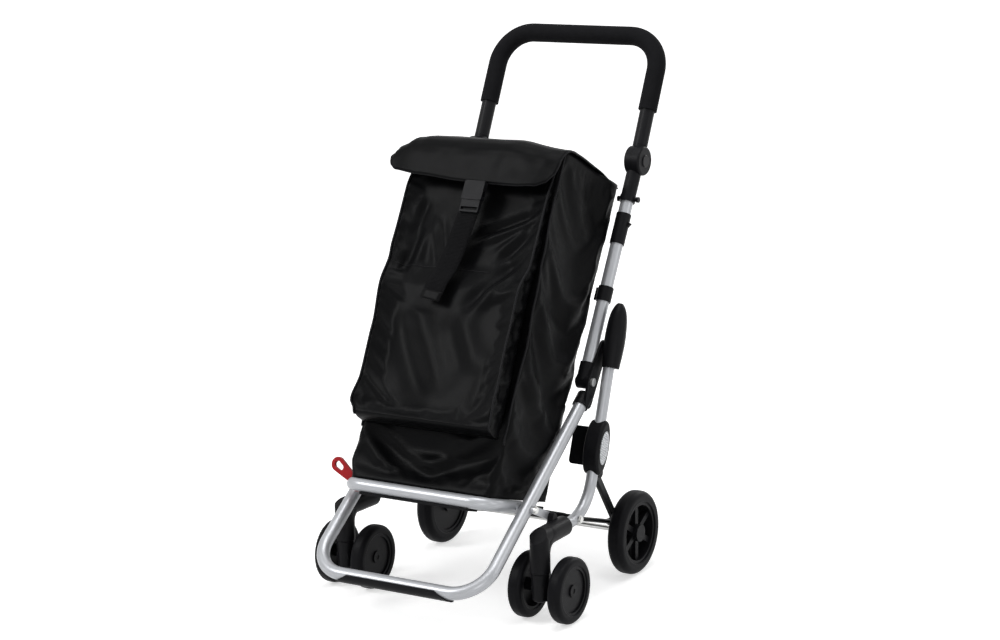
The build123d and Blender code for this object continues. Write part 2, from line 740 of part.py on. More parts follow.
parts["lock_lever"] = lock_lever()
collar_front = lever_back + GAP
collar_back = collar_front + COLLAR_THICK
parts["lever_bracket"] = straight_tube(
    on_left_arm(collar_front), on_left_arm(collar_back), lever_ring_r, platform_r + SEAT
)

# Visible bolts of the frame: heads on the loop's legs, the elbows' lugs and the side tubes
def bolt_head(place, x, out):
    """A domed head that sits at x and points outwards (1) or inwards (-1)."""
    flange = across(place, x, x + out * BOLT_FLANGE, BOLT_FLANGE_DIA / 2)
    return flange + across(place, x, x + out * BOLT_HEAD, BOLT_HEAD_DIA / 2)


add_twins(
    "frame_bolts",
    bolt_head(LOOP_BOLT, link_out + SEAT, 1),
    bolt_head(ELBOW_LUG, link_in - SEAT, -1),
    bolt_head(ROD_BOLT, half_side + side_r + SEAT, 1),
    bolt_head(rod_foot, foot_eye_in - SEAT, -1),
    bolt_head(leg_top, leg_top.X - eye_half - SEAT, -1),
)


# Hinge knuckles at the feet of the lower handle tubes
def hinge_knuckle():
    barrel = across(HINGE, knuckle_in, knuckle_out, KNUCKLE_DIA / 2)
    neck_r = handle_r + SOCKET_WALL
    neck = along(upright(half_handle, 0, 0), upright(half_handle, KNUCKLE_UP, 0), neck_r)
    window = Pos(half_handle, HINGE_Y, HINGE_Z) * Box(KNUCKLE_WIDTH, *[KNUCKLE_UP * 4] * 2)
    window = Pos((knuckle_in + knuckle_out) / 2 - half_handle, 0, 0) * window
    bore_top = upright(half_handle, KNUCKLE_UP + PAST, 0)
    bore = along(upright(half_handle, LOWER_TUBE_FOOT - SEAT, 0), bore_top, handle_r + SEAT)
    pin = across(HINGE, knuckle_in - PAST, knuckle_out + PAST, HINGE_PIN_DIA / 2 + SLIP)
    return barrel + (neck & window) - bore - pin


add_twins("hinge_knuckles", hinge_knuckle())

# Lower handle tubes, ending below the tilt discs
disc_r = TILT_DISC_DIA / 2
lower_top = TILT_UP - disc_r - GAP * 4
add_pair(
    "lower_tube",
    straight_tube(
        upright(half_handle, LOWER_TUBE_FOOT, 0), upright(half_handle, lower_top, 0), handle_r, handle_r - TUBE_WALL
    ),
)


# Clip sleeves with a small outward barb
sleeve_top_up = UPPER_TUBE_UP - SLEEVE_BELOW
sleeve_low_up = sleeve_top_up - SLEEVE_LENGTH


def clip_sleeve():
    low = upright(half_handle, sleeve_low_up, 0)
    top = upright(half_handle, sleeve_top_up, 0)
    barb_face = make_face(
        Polyline(
            (0, 0), (handle_r, 0), (upper_r + BARB_REACH, BARB_HEIGHT / 4), (upper_r, BARB_HEIGHT), (0, BARB_HEIGHT),
            close=True,
        )
    )
    barb_low = upright(half_handle, sleeve_top_up - BARB_DROP, 0)
    barb_plane = Plane(origin=barb_low, x_dir=(1, 0, 0), z_dir=AHEAD * -1)
    barb = extrude(barb_plane * barb_face, BARB_THICK / 2, both=True)
    return along(low, top, upper_r) + barb - along(low, top, handle_r + SEAT)


add_twins("clip_sleeves", clip_sleeve())


# Bag collars: a loop round each tube with a web that is sewn to the bag's side
def bag_collar():
    low = upright(half_handle, COLLAR_LOW_UP, 0)
    top = upright(half_handle, COLLAR_TOP_UP, 0)
    web = upright_block(
        half_bag + SEAT,
        half_handle,
        COLLAR_LOW_UP + COLLAR_INSET,
        COLLAR_TOP_UP - COLLAR_INSET,
        -COLLAR_WALL / 2,
        COLLAR_WALL / 2,
    )
    return along(low, top, handle_r + SEAT + COLLAR_WALL) + web - along(low, top, handle_r + SEAT)


add_twins("bag_collars", bag_collar())

# Upper tubes: black tubes over the lower ones, each with the inner half of a tilt disc
disc_split = half_handle
disc_in = half_handle - upper_r
hub_out = disc_split + GAP / 2 + HUB_WIDTH
TILT = upright(0, TILT_UP, 0)
pocket_floor = hub_out - TILT_BUTTON_TRAVEL - BUTTON_DEPTH


def upper_tube():
    low = upright(half_handle, UPPER_TUBE_UP, 0)
    sleeve = along(low, upright(half_handle, TILT_UP, 0), upper_r)
    collar_top = upright(half_handle, UPPER_TUBE_UP + UPPER_COLLAR, 0)
    collar = along(low, collar_top, upper_r + UPPER_COLLAR_WALL)
    disc = across(TILT, disc_in, disc_split - GAP / 2, disc_r)
    disc = fillet(disc.faces().sort_by(Axis.X)[0].edges(), DISC_ROUND)
    hub_room = across(TILT, disc_split - GAP / 2, hub_out + STEM_DIA, disc_r + GAP * 1.5)
    spigot = across(TILT, disc_in + SPIGOT_COVER, pocket_floor - SPIGOT_COVER, TILT_PIN_DIA / 2)
    bore = along(low - UP, upright(half_handle, lower_top + SEAT, 0), handle_r + SEAT)
    return sleeve + collar + disc - hub_room - bore + spigot


add_pair("upper_tube", upper_tube())

# Hook bolts through the feet of the upper tubes: knob outside, bag hook stub inside
hook = upright(0, UPPER_TUBE_UP + HOOK_RISE, 0)
collar_r = upper_r + UPPER_COLLAR_WALL
knob_foot = half_handle + collar_r + SEAT
knob_neck = across(hook, knob_foot, knob_foot + KNOB_NECK, HOOK_DIA / 2)
knob = knob_neck + across(hook, knob_foot + KNOB_NECK, knob_foot + KNOB_NECK + KNOB_LENGTH, HOOK_HEAD_DIA / 2)
stub_end = half_bag + SEAT
stub = across(hook, half_handle - collar_r - SEAT, stub_end, HOOK_DIA / 2)
stub += across(hook, stub_end + HOOK_HEAD, stub_end, HOOK_HEAD_DIA / 2)
add_twins("hook_bolts", knob, stub)


def tilted(piece):
    """A piece of the handle, tipped forward about the tilt discs to its rest angle."""
    return Pos(TILT) * Rot(HANDLE_TILT, 0, 0) * Pos(TILT * -1) * piece


# Handle hubs: the outer halves of the tilt discs, each with a neck and a plug inside the handle tube
def handle_hub():
    disc = across(TILT, disc_split + GAP / 2, hub_out, disc_r)
    disc = fillet(disc.faces().sort_by(Axis.X)[-1].edges(), HUB_ROUND)
    middle = upright(half_handle, TILT_UP, 0)
    neck = along(middle, upright(half_handle, HANDLE_FOOT_UP - SEAT, 0), upper_r)
    plug = along(middle, upright(half_handle, HUB_SOCKET_UP, 0), upper_r - TUBE_WALL - SEAT)
    disc_room = across(TILT, disc_in - STEM_DIA, disc_split + GAP / 2, disc_r + GAP * 1.5)
    pin = across(TILT, disc_in, pocket_floor - SPIGOT_COVER + GAP, TILT_PIN_DIA / 2 + SLIP)
    pocket = across(TILT, pocket_floor, hub_out + PAST, TILT_BUTTON_DIA / 2 + SEAT)
    return disc + neck + plug - disc_room - pin - pocket


add_pair("handle_hub", tilted(handle_hub()))

button_in = pocket_floor + TILT_BUTTON_TRAVEL + GAP
button = across(TILT, button_in, hub_out + BUTTON_PROUD, TILT_BUTTON_DIA / 2)
add_pair("tilt_button", fillet(button.faces().sort_by(Axis.X)[-1].edges(), BUTTON_ROUND))

# Handle tube, bent round the top, and its foam grip
handle_path = bent_path(
    [
        upright(half_handle, HANDLE_FOOT_UP, 0),
        upright(half_handle, HANDLE_TOP_UP, 0),
        upright(-half_handle, HANDLE_TOP_UP, 0),
        upright(-half_handle, HANDLE_FOOT_UP, 0),
    ],
    HANDLE_BEND,
)
parts["handle_tube"] = tilted(bent_tube(handle_path, upper_r, upper_r - TUBE_WALL))
grip_path = bent_path(
    [
        upright(half_handle, GRIP_START_UP, 0),
        upright(half_handle, HANDLE_TOP_UP, 0),
        upright(-half_handle, HANDLE_TOP_UP, 0),
        upright(-half_handle, GRIP_START_UP, 0),
    ],
    HANDLE_BEND,
)
parts["foam_grip"] = tilted(bent_tube(grip_path, GRIP_DIA / 2, upper_r + SEAT))

# Bag: an open-topped shell that stands on the platform and leans with the handle
bag_front_foot = on_platform(0, platform_r / 2, platform_r + GAP)
bag_back_foot = on_platform(0, deck_end, DECK_THICK + GAP * 3)
bag_corners = [
    bag_front_foot,
    upright(0, POCKET_LOW_UP - BAG_TUCK_DROP, BAG_FRONT - BAG_TUCK),
    upright(0, POCKET_LOW_UP, BAG_FRONT),
    upright(0, BAG_TOP_UP, BAG_FRONT),
    upright(0, BAG_TOP_UP, BAG_BACK),
    upright(0, BAG_KINK_UP, BAG_BACK),
    bag_back_foot,
]


def bag_body():
    outline = make_face(Polyline(*[(place.Y, place.Z) for place in bag_corners], close=True))
    outer = extrude(side_face(outline, -half_bag), half_bag * 2)
    hollow_face = offset(outline, -BAG_WALL)
    hollow = extrude(side_face(hollow_face, BAG_WALL - half_bag), (half_bag - BAG_WALL) * 2)
    mouth = upright_block(
        BAG_WALL - half_bag,
        half_bag - BAG_WALL,
        BAG_TOP_UP - BAG_WALL * 2,
        BAG_TOP_UP + PAST,
        LID_BACK,
        BAG_FRONT - BAG_WALL,
    )
    rising = lambda e: abs(e.tangent_at(0.5).dot(UP)) > 0.85
    outer = fillet(outer.edges().filter_by(rising), BAG_CORNER)
    hollow = fillet((hollow + mouth).edges().filter_by(rising), BAG_CORNER - BAG_WALL)
    arms = bent_bar(platform_path, platform_r + GAP)
    lever_room = along(on_left_arm(lever_front - GAP), on_left_arm(collar_back + GAP), lever_ring_r + GAP)
    return outer - hollow - arms - lever_room


parts["bag_body"] = bag_body()

# Stiff board on the bag's floor
floor_run = bag_back_foot - bag_front_foot
floor_up = Vector(0, -floor_run.Z, floor_run.Y).normalized()
board_inset = floor_run.normalized() * BOARD_MARGIN
board_low = bag_front_foot + board_inset + floor_up * (BAG_WALL + SEAT)
board_run = floor_run - board_inset * 2
board_places = [
    board_low,
    board_low + board_run,
    board_low + board_run + floor_up * BOARD_THICK,
    board_low + floor_up * BOARD_THICK,
]
board_half = half_bag - BOARD_MARGIN
parts["bag_base_board"] = side_profile(board_places, -board_half, board_half)


# Front pocket: a hollow wedge with round front corners, fullest near its foot, and a slot near its top
def pocket_section(up, depth, inset):
    """The pocket's outline square to the handle, drawn in by an inset."""
    depth -= inset * 2
    section = Rectangle((half_pocket - inset) * 2, depth)
    section = fillet(section.vertices().group_by(Axis.Y)[-1], depth * POCKET_ROUND)
    plane = Plane(origin=upright(0, up, BAG_FRONT + SEAT + inset + depth / 2), x_dir=(-1, 0, 0), z_dir=UP * -1)
    return plane * section


def front_pocket():
    stations = [
        (POCKET_LOW_UP, POCKET_DEPTH), (POCKET_FULL_UP, POCKET_DEPTH), (POCKET_MID_UP, POCKET_MID_DEPTH),
        (POCKET_TOP_UP, POCKET_EDGE_DEPTH),
    ]
    outer = loft([pocket_section(up, depth, 0) for up, depth in stations], ruled=True)
    inner_stations = [(POCKET_LOW_UP + POCKET_WALL, POCKET_DEPTH)] + stations[1:3]
    inner = loft([pocket_section(up, depth, POCKET_WALL) for up, depth in inner_stations], ruled=True)
    slot_half = half_pocket - POCKET_SLOT_MARGIN
    slot_top = POCKET_MID_UP - POCKET_SLOT_DROP
    middle = BAG_FRONT + POCKET_MID_DEPTH / 2
    slot = upright_block(
        -slot_half, slot_half, slot_top - POCKET_SLOT, slot_top, middle, middle + POCKET_MID_DEPTH
    )
    return outer - inner - slot


parts["front_pocket"] = front_pocket()

# Lid: a flap over the bag's mouth with a front skirt, hinged along the bag's back
lid_low = BAG_TOP_UP + GAP
lid_top = lid_low + LID_THICK
skirt_low = lid_top - LID_DROP


def bag_lid():
    places = [(LID_BACK, lid_low), (LID_FRONT - LID_THICK, lid_low), (LID_FRONT - LID_THICK, skirt_low),
              (LID_FRONT, skirt_low), (LID_FRONT, lid_top), (LID_BACK, lid_top)]
    body = side_profile([upright(0, up, ahead) for ahead, up in places], -half_lid, half_lid)
    bend = body.edges().filter_by(Axis.X).sort_by(lambda e: e.center().dot(UP + AHEAD))[-1]
    body = fillet(bend, LID_THICK)
    square = lambda e: abs(e.tangent_at(0.5).dot(AHEAD)) > 0.95 and e.length < LID_THICK * 2
    corners = body.edges().filter_by(square).sort_by(lambda e: e.center().dot(UP))[:2]
    return fillet(corners, LID_CORNER)


parts["bag_lid"] = bag_lid()

# Side-release buckle: the socket is sewn to the skirt, the plug carries the strap
buckle_back = LID_FRONT + SEAT * 2
buckle_front = buckle_back + BUCKLE_THICK
socket_top = skirt_low + BUCKLE_LAP
socket_low = socket_top - BUCKLE_SOCKET_LENGTH
half_buckle = BUCKLE_WIDTH / 2


def buckle_block(half_width, up_start, up_end, inset):
    return upright_block(
        STRAP_X - half_width, STRAP_X + half_width, up_start, up_end, buckle_back + inset, buckle_front - inset
    )


def buckle_socket():
    body = buckle_block(half_buckle, socket_low, socket_top, 0)
    body = fillet(body.edges().filter_by(lambda e: abs(e.tangent_at(0.5).dot(AHEAD)) > 0.95), BUCKLE_ROUND)
    cavity_top = socket_low + PRONG_LENGTH + PRONG_ROOM
    body -= buckle_block(half_buckle - BUCKLE_WALL * 2, socket_low - PAST, cavity_top, BUCKLE_WALL)
    window_low = socket_low + BUCKLE_WINDOW_UP
    for side in (-1, 1):
        middle = STRAP_X + side * half_buckle
        body -= upright_block(
            middle - BUCKLE_WINDOW / 2,
            middle + BUCKLE_WINDOW / 2,
            window_low,
            window_low + BUCKLE_WINDOW,
            buckle_back + BUCKLE_WALL,
            buckle_front - BUCKLE_WALL,
        )
    return body


parts["buckle_socket"] = buckle_socket()


def buckle_plug():
    plug_top = socket_low - GAP
    plug_low = plug_top - BUCKLE_PLUG_LENGTH
    half_slot = STRAP_WIDTH / 2 - PLUG_INSET / 2
    body = buckle_block(half_buckle - PLUG_INSET, plug_low, plug_top, PLUG_THIN)
    slot_low = plug_low + PLUG_BAR
    body -= upright_block(
        STRAP_X - half_slot, STRAP_X + half_slot, slot_low, slot_low + PLUG_SLOT, buckle_back, buckle_front
    )
    prong_step = half_buckle - BUCKLE_WALL * 2 - GAP - PRONG_WIDTH / 2
    for side in (-1, 0, 1):
        middle = STRAP_X + side * prong_step
        body += upright_block(
            middle - PRONG_WIDTH / 2,
            middle + PRONG_WIDTH / 2,
            plug_top - PAST,
            plug_top + PRONG_LENGTH,
            buckle_back + BUCKLE_WALL + GAP,
            buckle_front - BUCKLE_WALL - GAP,
        )
    return body


parts["buckle_plug"] = buckle_plug()


# Strap tail: flat webbing from the plug down the pocket, ending in a stitched tag
def strap_tail():
    tail_top = socket_low - GAP - BUCKLE_PLUG_LENGTH - SEAT
    ahead = buckle_back + BUCKLE_THICK / 2
    half = STRAP_WIDTH / 2
    tail = upright_block(STRAP_X - half, STRAP_X + half, STRAP_LOW_UP, tail_top, ahead, ahead + STRAP_THICK)
    tag = upright_block(
        STRAP_X - half - TAG_MARGIN,
        STRAP_X + half + TAG_MARGIN,
        STRAP_LOW_UP,
        STRAP_LOW_UP + half,
        ahead - TAG_MARGIN,
        ahead + STRAP_THICK + TAG_MARGIN,
    )
    return tail + tag


parts["strap_tail"] = strap_tail()


# Wheels: a tyre with round shoulders on a rim that is spoked or dished
def tyre(wheel_dia, rim_dia, width, shoulder):
    depth = (wheel_dia - rim_dia) / 2
    section = Rectangle(width, depth)
    section = fillet(section.vertices().group_by(Axis.Y)[-1], shoulder)
    section = fillet(section.vertices().group_by(Axis.Y)[0], TYRE_FOOT_ROUND)
    return revolve(Plane.XZ * Pos(0, rim_dia / 2 + depth / 2) * section, Axis.X)


def ring(inner_r, outer_r, x_start, x_end):
    zero = Vector(0, 0, 0)
    return across(zero, x_start, x_end, outer_r) - across(zero, x_start, x_end, inner_r)


def rear_hub():
    rim_r = REAR_RIM_DIA / 2
    rim_in = rim_r - REAR_RIM_WALL
    boss_r = REAR_BOSS_DIA / 2
    half = REAR_WHEEL_WIDTH / 2
    body = ring(rim_in, rim_r, REAR_RIM_INSET - half, half - REAR_RIM_INSET)
    body += across(Vector(0, 0, 0), -half, half, boss_r)
    spoke_length = rim_in - boss_r + PAST * 2
    for index in range(REAR_SPOKES):
        spoke = Box(REAR_SPOKE_THICK, REAR_SPOKE_WIDTH, spoke_length)
        spoke = Pos(half - REAR_SPOKE_INSET, 0, (rim_in + boss_r) / 2) * spoke
        body += Rot(index * 360 / REAR_SPOKES, 0, 0) * spoke
    web_in = REAR_WEB_INSET - half
    body += ring(boss_r - PAST, rim_in + PAST, web_in, web_in + REAR_WEB_THICK)
    blind = half - AXLE_COVER + SEAT
    return body - across(Vector(0, 0, 0), -half - PAST, blind, axle_r + SLIP)


def caster_hub():
    rim_r = CASTER_RIM_DIA / 2
    rim_in = rim_r - CASTER_RIM_WALL
    half = CASTER_WHEEL_WIDTH / 2
    inner_boss = (CASTER_WHEEL_SPACING - FORK_LUG_WIDTH) / 2
    zero = Vector(0, 0, 0)
    cap_out = half - CASTER_CAP_INSET
    web_in = half - CASTER_WEB_INSET
    body = ring(rim_in, rim_r, CASTER_RIM_INSET - half, half - CASTER_RIM_INSET)
    body += across(zero, web_in, web_in + CASTER_WEB_THICK, rim_in + PAST)
    body += across(zero, GAP - inner_boss, cap_out, CASTER_BOSS_DIA / 2)
    body -= across(zero, cap_out - CASTER_DIMPLE, cap_out + PAST, CASTER_DIMPLE_DIA / 2)
    return body - across(zero, -inner_boss, cap_out - CASTER_CAP_THICK, CASTER_AXLE_DIA / 2 + SLIP)


rear_place = Pos(half_rear, REAR_AXLE_Y, rear_axle_z)
rear_rim = REAR_RIM_DIA
add_pair("rear_tyre", rear_place * tyre(REAR_WHEEL_DIA, rear_rim, REAR_WHEEL_WIDTH, REAR_WHEEL_SHOULDER))
add_pair("rear_hub", rear_place * rear_hub())

caster_tyre = tyre(CASTER_WHEEL_DIA, CASTER_RIM_DIA, CASTER_WHEEL_WIDTH, CASTER_WHEEL_SHOULDER)
outer_hub = caster_hub()
for wheel, offset_x, hub in (
    ("outer", CASTER_WHEEL_SPACING / 2, outer_hub),
    ("inner", -CASTER_WHEEL_SPACING / 2, left_of(outer_hub)),
):
    place = Pos(half_caster + offset_x, caster_axle_y, caster_axle_z)
    add_pair(f"caster_{wheel}_tyre", place * caster_tyre)
    add_pair(f"caster_{wheel}_hub", place * hub)

# Caster forks: a stem under the elbow, a trailing lug for the axle and the swivel pin
CASTER_AXLE = Vector(half_caster, caster_axle_y, caster_axle_z)


def caster_fork():
    stem_low = Vector(half_caster, CASTER_STEM_Y, FORK_LOW_Z)
    stem_top = Vector(half_caster, CASTER_STEM_Y, SWIVEL_Z - GAP)
    stem_height = SWIVEL_Z - GAP - FORK_LOW_Z
    bottom = (Align.CENTER, Align.CENTER, Align.MIN)
    stem = Pos(stem_low) * Cone(FORK_TIP_DIA / 2, FORK_DIA / 2, stem_height, align=bottom)
    stem = fillet(stem.faces().sort_by(Axis.Z)[0].edges(), FORK_TIP_ROUND)
    stem = chamfer(stem.faces().sort_by(Axis.Z)[-1].edges(), SPLIT_CHAMFER)
    lug_left = half_caster - FORK_LUG_WIDTH / 2
    lug_right = half_caster + FORK_LUG_WIDTH / 2
    root = Vector(0, CASTER_STEM_Y + FORK_ROOT_BACK, caster_axle_z + FORK_ROOT_RISE)
    lug = side_hull([(CASTER_AXLE, FORK_LUG_DIA / 2), (root, FORK_ROOT_DIA / 2)], lug_left, lug_right)
    pin_low = stem_top - Vector(0, 0, PAST)
    pin = along(pin_low, stem_top + Vector(0, 0, SWIVEL_PIN_LENGTH), SWIVEL_PIN_DIA / 2)
    bore = across(CASTER_AXLE, lug_left - PAST, lug_right + PAST, CASTER_AXLE_DIA / 2 + SEAT)
    return stem + lug + pin - bore


add_pair("caster_fork", caster_fork())
caster_cover = CASTER_CAP_INSET + CASTER_CAP_THICK + GAP
caster_reach = CASTER_WHEEL_SPACING / 2 + CASTER_WHEEL_WIDTH / 2 - caster_cover
add_pair(
    "caster_axle",
    across(CASTER_AXLE, half_caster - caster_reach, half_caster + caster_reach, CASTER_AXLE_DIA / 2),
)

os.makedirs("parts", exist_ok=True)
for name, shape in parts.items():
    export_step(shape, f"parts/{name}.step")
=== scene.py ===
import json
import math

import bpy
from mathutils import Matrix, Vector, noise


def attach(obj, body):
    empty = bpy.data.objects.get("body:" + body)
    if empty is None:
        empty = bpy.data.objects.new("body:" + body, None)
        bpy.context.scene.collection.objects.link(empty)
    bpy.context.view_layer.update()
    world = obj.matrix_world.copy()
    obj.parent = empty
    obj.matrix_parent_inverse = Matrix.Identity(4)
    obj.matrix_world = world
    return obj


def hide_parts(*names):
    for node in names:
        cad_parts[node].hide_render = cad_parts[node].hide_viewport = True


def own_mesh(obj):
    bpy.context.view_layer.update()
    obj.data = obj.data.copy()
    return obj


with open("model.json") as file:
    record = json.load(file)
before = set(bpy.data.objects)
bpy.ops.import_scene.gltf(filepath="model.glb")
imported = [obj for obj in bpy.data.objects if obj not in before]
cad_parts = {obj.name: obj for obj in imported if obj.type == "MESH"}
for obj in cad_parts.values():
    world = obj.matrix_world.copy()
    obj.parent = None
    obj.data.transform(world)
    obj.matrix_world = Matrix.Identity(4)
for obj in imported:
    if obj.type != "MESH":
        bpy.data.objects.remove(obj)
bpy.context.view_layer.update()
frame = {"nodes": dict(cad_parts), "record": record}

# The upright's own axes: up along the handle tubes, and ahead of them.
# Cloth is laid out in these axes, in millimetres
MM = 0.001
LEAN = math.radians(28.8)
UP = Vector((0, math.sin(LEAN), math.cos(LEAN)))
AHEAD = Vector((0, -math.cos(LEAN), math.sin(LEAN)))
HINGE = Vector((0, 0.0323, 0.407))


def at(x, up, ahead):
    """A point of the upright in metres, from millimetres across, up and ahead."""
    return Vector((x, 0, 0)) * MM + HINGE + UP * (up * MM) + AHEAD * (ahead * MM)


# Blends
def mix(a, b, t):
    return a + (b - a) * t


def smooth(a, b, t):
    """A soft step from 0 at a to 1 at b."""
    t = min(max((t - a) / (b - a), 0.0), 1.0)
    return t * t * (3 - 2 * t)


def along(table, t):
    """Smooth interpolation in a table of (t, value)."""
    for (t0, a), (t1, b) in zip(table, table[1:]):
        if t <= t1:
            return mix(a, b, smooth(t0, t1, t))
    return table[-1][1]


def straight(table, t):
    """Straight interpolation in a table of (t, (value, value))."""
    for (t0, a), (t1, b) in zip(table, table[1:]):
        if t <= t1:
            k = (t - t0) / (t1 - t0)
            return tuple(mix(p, q, k) for p, q in zip(a, b))
    return table[-1][1]


def cloudy(x, u, v, size):
    """Even noise between about -1 and 1, with lumps of a size."""
    return noise.noise(Vector((x, u, v)) / size)


# Materials
GRAIN_DEPTH = 0.0006


def material(name, base, rough, metal=0.0, spread=0.3, scale=60.0, bump=0.05, grain=900.0, spec=0.5):
    """A shader whose colour, roughness and surface vary with noise in object space."""
    mat = bpy.data.materials.new(name)
    mat.use_nodes = True
    nodes, links = mat.node_tree.nodes, mat.node_tree.links
    shader = nodes["Principled BSDF"]
    place = nodes.new("ShaderNodeTexCoord")
    cloud = nodes.new("ShaderNodeTexNoise")
    cloud.inputs["Scale"].default_value = scale
    cloud.inputs["Detail"].default_value = 4.0
    links.new(place.outputs["Object"], cloud.inputs["Vector"])
    tint = nodes.new("ShaderNodeMix")
    tint.data_type = "RGBA"
    tint.inputs["A"].default_value = (*[c * (1 - spread) for c in base], 1)
    tint.inputs["B"].default_value = (*[min(c * (1 + spread), 1) for c in base], 1)
    links.new(cloud.outputs["Fac"], tint.inputs["Factor"])
    links.new(tint.outputs["Result"], shader.inputs["Base Color"])
    wear = nodes.new("ShaderNodeMapRange")
    wear.inputs["To Min"].default_value = rough * 0.85
    wear.inputs["To Max"].default_value = min(rough * 1.15, 1.0)
    links.new(cloud.outputs["Fac"], wear.inputs["Value"])
    links.new(wear.outputs["Result"], shader.inputs["Roughness"])
    fine = nodes.new("ShaderNodeTexNoise")
    fine.inputs["Scale"].default_value = grain
    fine.inputs["Detail"].default_value = 2.0
    links.new(place.outputs["Object"], fine.inputs["Vector"])
    relief = nodes.new("ShaderNodeBump")
    relief.inputs["Strength"].default_value = bump
    relief.inputs["Distance"].default_value = GRAIN_DEPTH
    links.new(fine.outputs["Fac"], relief.inputs["Height"])
    links.new(relief.outputs["Normal"], shader.inputs["Normal"])
    shader.inputs["Metallic"].default_value = metal
    shader.inputs["Specular IOR Level"].default_value = spec
    return mat


def add_stripes(mat, axis, pitch, depth):
    """Ribs across an axis of the object, added to a material's relief."""
    nodes, links = mat.node_tree.nodes, mat.node_tree.links
    relief = next(n for n in nodes if n.type == "BUMP")
    place = next(n for n in nodes if n.type == "TEX_COORD")
    reach = nodes.new("ShaderNodeVectorMath")
    reach.operation = "DOT_PRODUCT"
    reach.inputs[1].default_value = axis
    links.new(place.outputs["Object"], reach.inputs[0])
    phase = nodes.new("ShaderNodeMath")
    phase.operation = "MULTIPLY"
    phase.inputs[1].default_value = 2 * math.pi / pitch
    links.new(reach.outputs["Value"], phase.inputs[0])
    wave = nodes.new("ShaderNodeMath")
    wave.operation = "SINE"
    links.new(phase.outputs["Value"], wave.inputs[0])
    ribs = nodes.new("ShaderNodeBump")
    ribs.inputs["Strength"].default_value = 1.0
    ribs.inputs["Distance"].default_value = depth
    links.new(wave.outputs["Value"], ribs.inputs["Height"])
    links.new(relief.outputs["Normal"], ribs.inputs["Normal"])
    links.new(ribs.outputs["Normal"], nodes["Principled BSDF"].inputs["Normal"])


BLACK = (0.006, 0.006, 0.007)
paint = {
    "satin_aluminium": material(
        "satin aluminium", (0.40, 0.41, 0.43), rough=0.36, metal=0.45, spread=0.06, scale=30, grain=1400
    ),
    "black_metal": material("black metal", BLACK, rough=0.40, scale=40, grain=1200, spec=0.10),
    "black_plastic": material(
        "black plastic", BLACK, rough=0.42, spread=0.25, scale=50, bump=0.12, grain=1500, spec=0.08
    ),
    "gloss_black": material(
        "gloss black", BLACK, rough=0.30, spread=0.25, scale=50, bump=0.03, grain=1200, spec=0.12
    ),
    "black_foam": material(
        "black foam", (0.008, 0.008, 0.009), rough=0.80, spread=0.35, scale=80, bump=0.5, spec=0.04
    ),
    "black_tyre": material(
        "black tyre", (0.005, 0.005, 0.006), rough=0.46, scale=40, bump=0.1, grain=800, spec=0.06
    ),
    "bag_fabric": material(
        "bag cloth", (0.0030, 0.0031, 0.0034), rough=0.36, spread=0.25, scale=14, bump=0.25, grain=1800,
        spec=0.042,
    ),
    "bag_webbing": material("webbing", (0.004, 0.004, 0.0045), rough=0.6, bump=0.3, grain=1500, spec=0.04),
    "red_latch": material(
        "red latch", (0.33, 0.008, 0.011), rough=0.38, spread=0.12, scale=50, bump=0.03, grain=1000, spec=0.2
    ),
    "reflector": material(
        "reflector", (0.70, 0.72, 0.75), rough=0.25, metal=0.15, spread=0.12, scale=120, bump=0.1
    ),
    "steel": material("zinc steel", (0.62, 0.62, 0.61), rough=0.30, metal=1.0, spread=0.12, scale=90),
}
# Piping is painted lighter than the bag cloth: a painted highlight along the cords
piping_highlight_paint = material(
    "piping", (0.009, 0.009, 0.010), rough=0.5, spread=0.2, scale=40, bump=0.1, grain=1500, spec=0.08
)
buckle_paint = material(
    "buckle plastic", BLACK, rough=0.42, spread=0.25, scale=50, bump=0.1, grain=1500, spec=0.08
)
add_stripes(paint["reflector"], (0, 0, 1), pitch=0.0032, depth=0.0012)
add_stripes(paint["bag_webbing"], tuple(UP), pitch=0.0026, depth=0.0004)

for entry in frame["record"]["subparts"]:
    piece = frame["nodes"][entry["node"]]
    piece.data.materials.clear()
    piece.data.materials.append(buckle_paint if "buckle" in entry["node"] else paint[entry["material_slot"]])


# Mesh helpers
def mesh_object(name, verts, faces, slot, body):
    """A smooth mesh that rides on a body and has a slot's paint."""
    mesh = bpy.data.meshes.new(name)
    mesh.from_pydata([tuple(v) for v in verts], [], faces)
    mesh.update()
    for poly in mesh.polygons:
        poly.use_smooth = True
    mesh.materials.append(paint[slot])
    made = bpy.data.objects.new(name, mesh)
    bpy.context.scene.collection.objects.link(made)
    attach(made, body)
    return made


def skin(rows, ring):
    """Quads between rows of points that are closed rings or open strips."""
    count = len(rows[0])
    faces = []
    for r in range(len(rows) - 1):
        for c in range(count if ring else count - 1):
            d = (c + 1) % count
            faces.append((r * count + c, r * count + d, (r + 1) * count + d, (r + 1) * count + c))
    return [v for row in rows for v in row], faces


INWARD, BOTH_WAYS = -1, 0


def thicken(made, depth, offset):
    solid = made.modifiers.new("thickness", "SOLIDIFY")
    solid.thickness = depth
    solid.offset = offset


def piping_along(name, points, radius, body, sides=8):
    """A thin round cord of piping along points."""
    angles = [2 * math.pi * k / sides for k in range(sides)]
    rows, across = [], None
    for i, p in enumerate(points):
        run = (points[min(i + 1, len(points) - 1)] - points[max(i - 1, 0)]).normalized()
        # Each ring takes over its direction from the one before, so the cord isn't twisted
        across = run.orthogonal() if across is None else across - run * across.dot(run)
        across.normalize()
        over = run.cross(across)
        rows.append([p + (across * math.cos(t) + over * math.sin(t)) * radius for t in angles])
    verts, faces = skin(rows, True)
    faces += [tuple(range(sides))[::-1], tuple(range(len(verts) - sides, len(verts)))]
    made = mesh_object(name, verts, faces, "bag_webbing", body)
    # The cord takes the lighter piping paint, a painted highlight along it
    made.data.materials[0] = piping_highlight_paint
    return made


